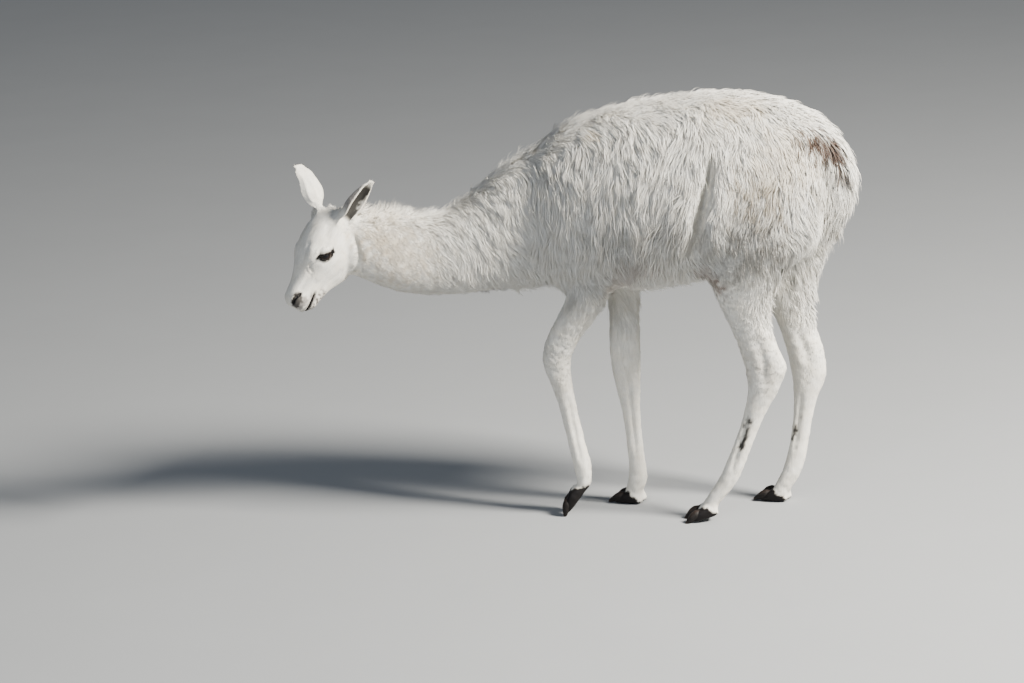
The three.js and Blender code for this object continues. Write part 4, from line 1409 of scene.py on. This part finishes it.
def region_of(points):
    """The number of the coat piece that each root belongs to; a right one follows its left one."""
    x, y, z = points.T / MM
    right = y > np.where(x < -300, midline(points[:, 0]) / MM, 0)
    trunk = [NUMBER[f"coat_{place}_left"] for place in ("neck", "shoulder", "side", "haunch")]
    region = np.select([x < -480, x < -195, x < 75], trunk[:3], trunk[3]) + right
    fore = x < -20
    leg = z < np.where(fore, 600, 640)
    region = np.where(leg & fore, NUMBER["coat_leg_left_fore"] + (y > 20), region)
    region = np.where(leg & ~fore, NUMBER["coat_leg_left_hind"] + (y > 0), region)
    region = np.where(head_share(points) > 0.5, NUMBER["coat_head"], region)
    region = np.where(ear_share(points) > 0.3, NUMBER["coat_ears"], region)
    away, _ = to_line(points / MM, TAIL_LINE)
    return np.where((away < 66) & (x > 392), NUMBER["coat_tail"], region)


ROOT_SEED, LAY_SEED = 7, 11  # of the random numbers that place the tufts, and that lay them


def scattered(skin, spare):
    """Roots spread over the skin, as many to each triangle as its area and the hair's spacing ask.

    Returns each root's place, normal and place on the unwrap, and the hair values there.
    """
    points, quads, uv = skin
    rng = np.random.default_rng(ROOT_SEED)
    normals = vertex_normals(points, quads)
    hair = grooming(points)
    faces = np.concatenate([quads[:, [0, 1, 2]], quads[:, [0, 2, 3]]])
    patches = np.concatenate([uv[:, [0, 1, 2]], uv[:, [0, 2, 3]]])
    area = np.linalg.norm(face_normals(points, faces), axis=1) / 2
    spacing = hair["spacing"][faces].mean(1)
    wanted = area / spacing**2 * (1 - spare[faces].mean(1))
    many = np.floor(wanted + rng.random(len(faces))).astype(int)
    chosen = np.repeat(np.arange(len(faces)), many)
    share = rng.dirichlet((1, 1, 1), len(chosen))

    def at(values):
        return np.einsum("ij,ij...->i...", share, values)

    corners = faces[chosen]
    return (at(points[corners]), unit(at(normals[corners])), at(patches[chosen]),
            {key: at(values[corners]) for key, values in hair.items()})


def by_kind(here, long_):
    """A region's tufts, long ones apart from short: [number of rings, ending of the piece's name, which].

    Where there are only a few of one kind, all are made as the other.
    """
    kinds = [(3, "", here & long_), (2, "_short", here & ~long_)]
    if min(mine.sum() for _, _, mine in kinds) >= FEW:
        return kinds
    rings, ending, _ = kinds[0 if long_[here].mean() > 0.5 else 1]
    return [(rings, ending, here)]


def coat_pieces(skin, spare, look):
    """Every coat piece, as (name, region, mesh): tufts sown on the skin, laid along the flow, clumped."""
    root, normal, patch, hair = scattered(skin, spare)
    rng = np.random.default_rng(LAY_SEED)
    flow = unit(hair["flow"] - (hair["flow"] * normal).sum(1, keepdims=True) * normal)
    wool = ramp(hair["length"], 14 * MM, 50 * MM)
    lean = (0.30 * ripple(root, 0.12, 51) + 0.22 * ripple(root, 0.035, 52)) * (0.35 + 0.65 * wool)
    lean += rng.normal(0, 0.12, len(root))
    flow = flow * np.cos(lean)[:, None] + np.cross(normal, flow) * np.sin(lean)[:, None]
    length = hair["length"] * np.exp(rng.normal(0, 0.18, len(root)))
    length = length * (1 + 0.12 * ripple(root, 0.06, 53) * wool) * look.coat_length
    lift = hair["lift"] * np.clip(1 + 0.25 * ripple(root, 0.03, 54) + rng.normal(0, 0.26, len(root)), 0.3, 2)
    width = hair["width"] * np.exp(rng.normal(0, 0.15, len(root)))
    middle = root + flow * (length * 0.55)[:, None] + normal * (hair["depth"] * 0.7)[:, None]
    marks = markings(middle, normal)
    region = region_of(root)
    long_ = hair["length"] > LONG_HAIR
    pieces = []
    for region_name, number in NUMBER.items():
        for rings, ending, mine in by_kind(region == number, long_):
            name = region_name + ending
            path = strands(root[mine], flow[mine], normal[mine], length[mine], lift[mine], rings,
                           rng_of(name + " bends"), hair["curl"][mine], 0.25 * wool[mine])
            if rings == 3:
                weight = ramp(hair["length"][mine], 12 * MM, 56 * MM)
                for size, pull, seed in CLUMPS:
                    path = clump(path, size, pull * weight, seed)
            path[:, :, 2] = np.maximum(path[:, :, 2], HAIR_GAP)
            stored = {key: values[mine] for key, values in marks.items()}
            stored["fleck"] = rng_of(name + " flecks").random(mine.sum())
            mesh = tuft_mesh(name, path, normal[mine], width[mine], patch[mine], stored)
            pieces.append((name, region_name, mesh))
    return pieces


# ---- Skin, eyes, nails and lashes ----------------------------------------------------------------


def unwrapped(piece):
    """Unwraps a piece by the turns of its own surface, into a UV map named OFBake."""
    piece.data.uv_layers.new(name="OFBake")
    with bpy.context.temp_override(active_object=piece, object=piece, selected_objects=[piece]):
        bpy.context.view_layer.objects.active = piece
        piece.select_set(True)
        bpy.ops.object.mode_set(mode="EDIT")
        bpy.ops.mesh.select_all(action="SELECT")
        bpy.ops.uv.smart_project(angle_limit=1.2, island_margin=0.001)
        bpy.ops.object.mode_set(mode="OBJECT")
        piece.select_set(False)


def skin_piece(look):
    """The one skin over the whole body, with its markings and the lie of its short fur."""
    points, faces = skin_surface(look.skin_grain)
    mesh = mesh_of("skin", points + SHIFT, faces)
    normals = vertex_normals(points, faces)
    for key, values in markings(points, normals).items():
        keep(mesh, key, values)
    keep(mesh, "wool", ramp(grooming(points)["length"], 18 * MM, 34 * MM))
    on_head = head_share(points)[:, None]
    keep(mesh, "lie", to_head(points) * [0.2, 1, 1] * on_head + points * [1, 1, 0.2] * (1 - on_head))
    piece = show("skin", mesh, skin_material(look))
    unwrapped(piece)
    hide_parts(*FLESH)
    return piece


def sown_skin():
    """The skin's points, quads and unwrap, read back from its piece."""
    mesh = bpy.data.objects["skin"].data
    quads = read(mesh.loops, "vertex_index", 1, np.int32).reshape(-1, 4)
    patches = read(mesh.uv_layers["OFBake"].data, "uv", 2).reshape(-1, 4, 2)
    return read(mesh.vertices, "co", 3) - SHIFT, quads, patches


def bareness(points, normals):
    """How much of the coat is left out, 0 to 1: at lids, nostrils, lips, pads, bare skin and the floor."""
    marks = markings(points, normals)
    spare = np.maximum(0.75 * marks["bare"], marks["dark"])
    for side in (1, -1):
        u, v, w, r = by_eye(to_head(points) / MM, side)
        spare = np.maximum(spare, round_eye(w, r) * ramp(eye_gap(u, v), 8.5, 6))
    return np.maximum(spare, ramp(points[:, 2], 5 * MM, 2 * MM))


def tube_faces(rings, around, flipped=False):
    """The quads between rings of points, and fans that close both ends round the two points after them."""
    index = np.arange(rings * around).reshape(rings, around)
    onward = np.roll(index, -1, axis=1)
    quads = np.stack([index[:-1], index[1:], onward[1:], onward[:-1]], axis=2).reshape(-1, 4)
    start = np.stack([np.full(around, index.size), index[0], onward[0]], axis=1)
    end = np.stack([np.full(around, index.size + 1), onward[-1], index[-1]], axis=1)
    fans = np.concatenate([start, end])
    return (quads[:, [0, 3, 2, 1]], fans[:, [0, 2, 1]]) if flipped else (quads, fans)


def eye_piece(side, name, look):
    """An eyeball: a ball with a low bulge at its front, its middle on the eye's outward line.

    A point at angle a from that line is at the radius plus the bulge times exp(-(a / 0.6)^2).
    """
    rings, around = 44, 64
    a = np.linspace(0, math.pi, rings + 1)[1:-1, None]
    b = np.linspace(0, 2 * math.pi, around, endpoint=False)[None]
    ring = np.stack([np.sin(a) * np.cos(b), np.sin(a) * np.sin(b), np.cos(a) + 0 * b], axis=2).reshape(-1, 3)
    local = np.concatenate([ring, [[0, 0, 1], [0, 0, -1]]])
    angle = np.arccos(np.clip(local[:, 2], -1, 1))
    radius = EYE_RADIUS + look.eye_bulge * np.exp(-((angle / 0.6) ** 2))
    along, up, out = eye_axes(side)
    axes = np.stack([along * side, up, out])
    points = from_head(EYE * [1, side, 1] + (local * radius[:, None]) @ axes)
    mesh = mesh_of(name, points + SHIFT, *tube_faces(rings - 1, around))
    for key, values in zip(("across", "high", "out"), local.T):
        keep(mesh, key, values)
    flat = np.maximum(np.hypot(local[:, 0], local[:, 1]), 1e-6)
    keep(mesh, "ray", np.stack([local[:, 0] / flat, local[:, 1] / flat, flat * 0.4], axis=1))
    piece = show("globe_" + name, mesh, eye_material(look))
    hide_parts(name)


# A toe's nail, ring by ring:
# [distance from the heel, height of the top, height of the underside, half width], in millimetres.
NAIL_ROWS = [(50, 32, 12, 8), (60, 33, 8, 12), (75, 28, 5, 12), (88, 17, 2.5, 8), (97, 8, 1.5, 3)]


def nail_piece(name, look):
    """A claw of horn along its toe: rounded cross-sections on smooth curves, with low growth ridges."""
    _, side, end, toe = name.split("_")
    origin, matrix = toe_frame(f"{side}_{end}", -1 if toe == "inner" else 1)
    rings, around = 26, 24
    x = np.linspace(NAIL_ROWS[0][0], NAIL_ROWS[-1][0], rings)
    top, under, half = spline(NAIL_ROWS, x).T
    ridge = 1 + 0.018 * np.sin(x * 1.3) + 0.012 * np.sin(x * 2.9)
    angle = np.linspace(0, 2 * math.pi, around, endpoint=False)[None]
    y = half[:, None] * ridge[:, None] * np.cos(angle)
    high = (top - under)[:, None] / 2
    z = (top + under)[:, None] / 2 + high * np.sin(angle) * np.where(np.sin(angle) > 0, ridge[:, None], 0.96)
    ring = np.stack([x[:, None] + 0 * angle, y, z], axis=2).reshape(-1, 3)
    ends = [[x[0], 0, (top[0] + under[0]) / 2], [x[-1] + 1.2, 0, (top[-1] + under[-1]) / 2]]
    local = np.concatenate([ring, ends])
    points = origin + (local * MM) @ matrix.T
    points[:, 2] = np.maximum(points[:, 2], FLOOR_GAP)
    mesh = mesh_of(name, points + SHIFT, *tube_faces(rings, around, flipped=True))
    keep(mesh, "along", (local[:, 0] - x[0]) / (x[-1] - x[0]))
    keep(mesh, "top", np.append((np.sin(angle) * np.ones((rings, 1))).ravel(), [0, 0]))
    piece = show("claw_" + name, mesh, nail_material(look))
    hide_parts(name)


LASHES = 46  # to an eye


def lash_mesh(look):
    """Two fringes of lashes on the upper lids, fanned outwards and curving down a little."""
    roots, headings, ups, lengths = [], [], [], []
    rng = rng_of("lashes")
    for side in (1, -1):
        along, up, out = eye_axes(side)
        u = np.linspace(-19, 15, LASHES) + rng.normal(0, 0.4, LASHES)
        top = lid_edge(u)[0] + rng.uniform(0.3, 1.6, LASHES)
        reach = EYE_RADIUS / MM + LID["thick"]
        w = np.sqrt(np.maximum(reach**2 - u**2 - top**2, 16))
        place = EYE * [1, side, 1] / MM + u[:, None] * along + top[:, None] * up + w[:, None] * out
        fan = along * (u / 26)[:, None] + 0.45 * up + out + rng.normal(0, 0.12, (LASHES, 3))
        roots.append(from_head(place * MM))
        headings.append(unit(fan) @ HEAD.T)
        ups.append(np.tile(HEAD @ up, (LASHES, 1)))
        lengths.append((0.55 + 0.45 * ramp(u, 12, -8)) * np.exp(rng.normal(0, 0.12, LASHES)))
    root, heading = np.concatenate(roots), np.concatenate(headings)
    up = np.concatenate(ups)
    heading = unit(heading - (heading * up).sum(1, keepdims=True) * up * 0.9)
    length = np.concatenate(lengths) * look.lash_length
    many = np.ones(len(root))
    path = strands(root, heading, unit(up), length, -0.15 * many, 3, rng, 0.1, 0.0)
    stored = {key: 0 * many for key in (*SOFTNESS, "grey")}
    stored["dark"], stored["fleck"] = many, rng.random(len(root))
    row, column = np.divmod(np.arange(len(root)), 40)
    patch = 0.02 + 0.004 * np.stack([column, row], axis=1)
    return tuft_mesh("lashes", path, unit(up), 0.9 * MM * many, patch, stored)


# ---- The stage -----------------------------------------------------------------------------------

# The camera's place in the body's frame, in metres.
CAMERA = (1.8477, -11.01545, 3.38194)
# Its bearing to the right of straight on, its angle above level and its roll, in degrees.
CAMERA_BEARING, CAMERA_HEIGHT, CAMERA_ROLL = 12.0, 14.5, 3.0
CAMERA_LENS, SENSOR = 151.6, 36.0  # in millimetres
FLOOR_HALF = 30.0  # metres from the floor's middle to its sides
AIM = (-0.2, 0, 0.6)  # what the lights look at, in the body's frame
# Each light: [name, place from the aim, size, share of the main light's power, colour], in metres.
LIGHTS = [
    ("key", (4.9, -1.5, 3.9), 1.5, 1.0, (1.0, 0.95, 0.86)),
    ("fill", (-1.0, -6.5, 2.6), 3.0, 0.07, (0.80, 0.88, 1.0)),
]
SKY = (0.72, 0.80, 0.92)


def add_light(name, place, aim, size, power, colour):
    """A soft square light at a place, looking at its aim."""
    data = bpy.data.lights.new(name, "AREA")
    data.size, data.energy, data.color = size, power, colour
    light = bpy.data.objects.new(name, data)
    light.location = place
    light.rotation_euler = (Vector(aim) - Vector(place)).to_track_quat("-Z", "Y").to_euler()
    bpy.context.scene.collection.objects.link(light)


def add_camera():
    """The camera, turned by its bearing, then its height, then its roll."""
    data = bpy.data.cameras.new("camera")
    data.lens, data.sensor_width, data.clip_end = CAMERA_LENS, SENSOR, 200.0
    camera = bpy.data.objects.new("camera", data)
    a, e, r = (math.radians(v) for v in (CAMERA_BEARING, CAMERA_HEIGHT, CAMERA_ROLL))
    back = np.array([math.sin(a) * math.cos(e), -math.cos(a) * math.cos(e), math.sin(e)])
    right = np.array([math.cos(a), math.sin(a), 0])
    up = np.cross(back, right)
    right, up = right * math.cos(r) - up * math.sin(r), right * math.sin(r) + up * math.cos(r)
    turn = Matrix(np.column_stack([right, up, back]).tolist()).to_4x4()
    camera.matrix_world = Matrix.Translation(Vector(np.array(CAMERA) + SHIFT)) @ turn
    bpy.context.scene.collection.objects.link(camera)
    bpy.context.scene.camera = camera


def make_stage(look):
    """The pale floor, a warm light from behind the llama, a faint cool one on its left, sky and camera."""
    corners = np.array([(-1, -1, 0), (1, -1, 0), (1, 1, 0), (-1, 1, 0)]) * FLOOR_HALF
    floor = bpy.data.objects.new("floor", mesh_of("floor", corners, np.array([[0, 1, 2, 3]])))
    floor.data.materials.append(floor_material(look))
    bpy.context.scene.collection.objects.link(floor)
    aim = np.array(AIM) + SHIFT
    for name, place, size, power, colour in LIGHTS:
        add_light(name, aim + place, aim, size, look.key_power * power, colour)
    world = bpy.data.worlds.new("sky")
    world.use_nodes = True
    background = next(n for n in world.node_tree.nodes if n.type == "BACKGROUND")
    background.inputs["Color"].default_value = rgba(SKY)
    background.inputs["Strength"].default_value = look.sky_strength
    bpy.context.scene.world = world
    add_camera()


# ---- Sizes and colours that a user may change ----------------------------------------------------


def colour_setting(name, description, default):
    """A colour property."""
    return bpy.props.FloatVectorProperty(name=name, description=description, subtype="COLOR", size=3,
                                         min=0, max=1, default=default)


class LlamaSizes(bpy.types.PropertyGroup):
    """Sizes of the skin, coat and eyes."""

    skin_grain: bpy.props.FloatProperty(
        name="Skin grain", description="Size of the grid that the skin is made on; smaller is finer",
        default=0.0122, min=0.008, max=0.03, unit="LENGTH", precision=4)
    coat_length: bpy.props.FloatProperty(
        name="Coat length", description="Length of every tuft, as a share of its grown length",
        default=1.0, min=0.3, max=1.5, subtype="FACTOR")
    eye_bulge: bpy.props.FloatProperty(
        name="Eye bulge", description="How far the clear front of the eye stands out from its ball",
        default=0.0014, min=0, max=0.004, unit="LENGTH", precision=4)
    lash_length: bpy.props.FloatProperty(
        name="Lash length", description="Length of the longest lashes",
        default=0.011, min=0.004, max=0.03, unit="LENGTH", precision=3)
    key_power: bpy.props.FloatProperty(
        name="Main light", description="Power of the main light", default=2100, min=0, unit="POWER")
    sky_strength: bpy.props.FloatProperty(
        name="Sky", description="Strength of the light from all round", default=0.26, min=0)


class LlamaColours(bpy.types.PropertyGroup):
    """Colours of the coat, skin, eyes, nails and floor."""

    wool: colour_setting("Wool", "The white of the coat's tips", (0.82, 0.798, 0.73))
    warm: colour_setting("Warm wool", "The warmer patches of the coat", (0.74, 0.66, 0.52))
    # tan stains, and the colour of the warm sunlight painted on the rump and the neck behind the head
    tan: colour_setting("Tan", "Stained patches", (0.56, 0.42, 0.24))
    grime: colour_setting("Grime", "Dust and dirt in the coat", (0.25, 0.23, 0.20))
    brown: colour_setting("Brown", "Brown markings", (0.052, 0.024, 0.014))
    # also the painted shade in the near ear's slit, the nostrils, the gap between the lips and the hind
    # cannons' grooves
    black: colour_setting("Black", "Black markings, lids, nostrils and pads", (0.008, 0.007, 0.007))
    skin: colour_setting("Bare skin", "Skin where the coat is thin", (0.30, 0.215, 0.175))
    # also the painted shade over the upper lids, in the folds in front of the eyes and on the ears
    grey: colour_setting("Grey skin", "Greyish lids, lips and chin", (0.17, 0.15, 0.14))
    eye: colour_setting("Eye", "The iris", (0.018, 0.009, 0.006))
    nail: colour_setting("Nail", "Horn", (0.008, 0.0065, 0.006))
    # also the painted highlight on the tops of the nails
    horn: colour_setting("Worn nail", "Horn where it is worn paler", (0.050, 0.032, 0.024))
    floor: colour_setting("Floor", "The floor", (0.30, 0.31, 0.32))


class Look:
    """The scene's llama sizes and colours, read together."""

    def __init__(self, scene):
        self.groups = (scene.llama_sizes, scene.llama_colours)

    def __getattr__(self, name):
        for group in self.groups:
            if name in group.bl_rna.properties:
                return getattr(group, name)
        raise AttributeError(name)


# ---- Operators and panel -------------------------------------------------------------------------


FEWEST_TRIANGLES, MOST_TRIANGLES = 60000, 200000  # of the skin; a coat piece too has no more


class LLAMA_OT_skin(bpy.types.Operator):
    """Make the skin of the whole body, with its lids, lips, folds and markings"""

    bl_idname = "llama.skin"
    bl_label = "Make skin"

    def execute(self, context):
        """Makes the skin, and stops if it is too coarse or too heavy."""
        piece = skin_piece(Look(context.scene))
        triangles = 2 * len(piece.data.polygons)
        if not FEWEST_TRIANGLES < triangles < MOST_TRIANGLES:
            raise RuntimeError(f"the skin has {triangles} triangles; change the skin grain")
        return {"FINISHED"}


class LLAMA_OT_coat(bpy.types.Operator):
    """Make the tufts of the coat over the skin"""

    bl_idname = "llama.coat"
    bl_label = "Make coat"

    def execute(self, context):
        """Makes every coat piece, and stops if there is no skin or a piece is too heavy."""
        if "skin" not in bpy.data.objects:
            raise RuntimeError("make the skin first")
        look = Look(context.scene)
        skin = sown_skin()
        spare = bareness(skin[0], vertex_normals(skin[0], skin[1]))
        material = coat_material(look)
        for name, region, mesh in coat_pieces(skin, spare, look):
            triangles = len(mesh.loops) - 2 * len(mesh.polygons)
            if triangles >= MOST_TRIANGLES:
                raise RuntimeError(f"{name} has {triangles} triangles")
            show(name, mesh, material)
        show("lashes", lash_mesh(look), material)
        return {"FINISHED"}


class LLAMA_OT_eyes(bpy.types.Operator):
    """Make the two eyeballs"""

    bl_idname = "llama.eyes"
    bl_label = "Make eyes"

    def execute(self, context):
        """Makes both eyeballs in place of the two plain ones."""
        for side, name in zip((1, -1), EYES):
            eye_piece(side, name, Look(context.scene))
        return {"FINISHED"}


class LLAMA_OT_nails(bpy.types.Operator):
    """Make the nails, two to a foot"""

    bl_idname = "llama.nails"
    bl_label = "Make nails"

    def execute(self, context):
        """Makes a claw in place of each plain one."""
        for name in NAILS:
            nail_piece(name, Look(context.scene))
        return {"FINISHED"}


class LLAMA_OT_stage(bpy.types.Operator):
    """Make the floor, the lights and the camera"""

    bl_idname = "llama.stage"
    bl_label = "Make stage"

    def execute(self, context):
        """Makes the stage, and stops if the scene ends up without a camera."""
        make_stage(Look(context.scene))
        if context.scene.camera is None:
            raise RuntimeError("the scene has no camera")
        return {"FINISHED"}


class LLAMA_PT_panel(bpy.types.Panel):
    """The llama's sizes, colours and steps"""

    bl_idname = "LLAMA_PT_panel"
    bl_label = "Standing llama"
    bl_space_type = "VIEW_3D"
    bl_region_type = "UI"
    bl_category = "Llama"

    def draw(self, context):
        """Lists the settings, then the steps in order."""
        for group in (context.scene.llama_sizes, context.scene.llama_colours):
            column = self.layout.column()
            for name in group.__annotations__:
                column.prop(group, name)
        for step in STEPS:
            self.layout.operator(step.bl_idname)


STEPS = (LLAMA_OT_skin, LLAMA_OT_coat, LLAMA_OT_eyes, LLAMA_OT_nails, LLAMA_OT_stage)
CLASSES = (LlamaSizes, LlamaColours, *STEPS, LLAMA_PT_panel)


def register():
    """Adds the settings, operators and panel to Blender."""
    for cls in CLASSES:
        bpy.utils.register_class(cls)
    bpy.types.Scene.llama_sizes = bpy.props.PointerProperty(type=LlamaSizes)
    bpy.types.Scene.llama_colours = bpy.props.PointerProperty(type=LlamaColours)


def unregister():
    """Takes them out again."""
    del bpy.types.Scene.llama_sizes
    del bpy.types.Scene.llama_colours
    for cls in reversed(CLASSES):
        bpy.utils.unregister_class(cls)


def main():
    """Makes the whole llama and its stage."""
    register()
    bpy.ops.llama.skin()
    bpy.ops.llama.coat()
    bpy.ops.llama.eyes()
    bpy.ops.llama.nails()
    bpy.ops.llama.stage()


if __name__ == "__main__":
    main()
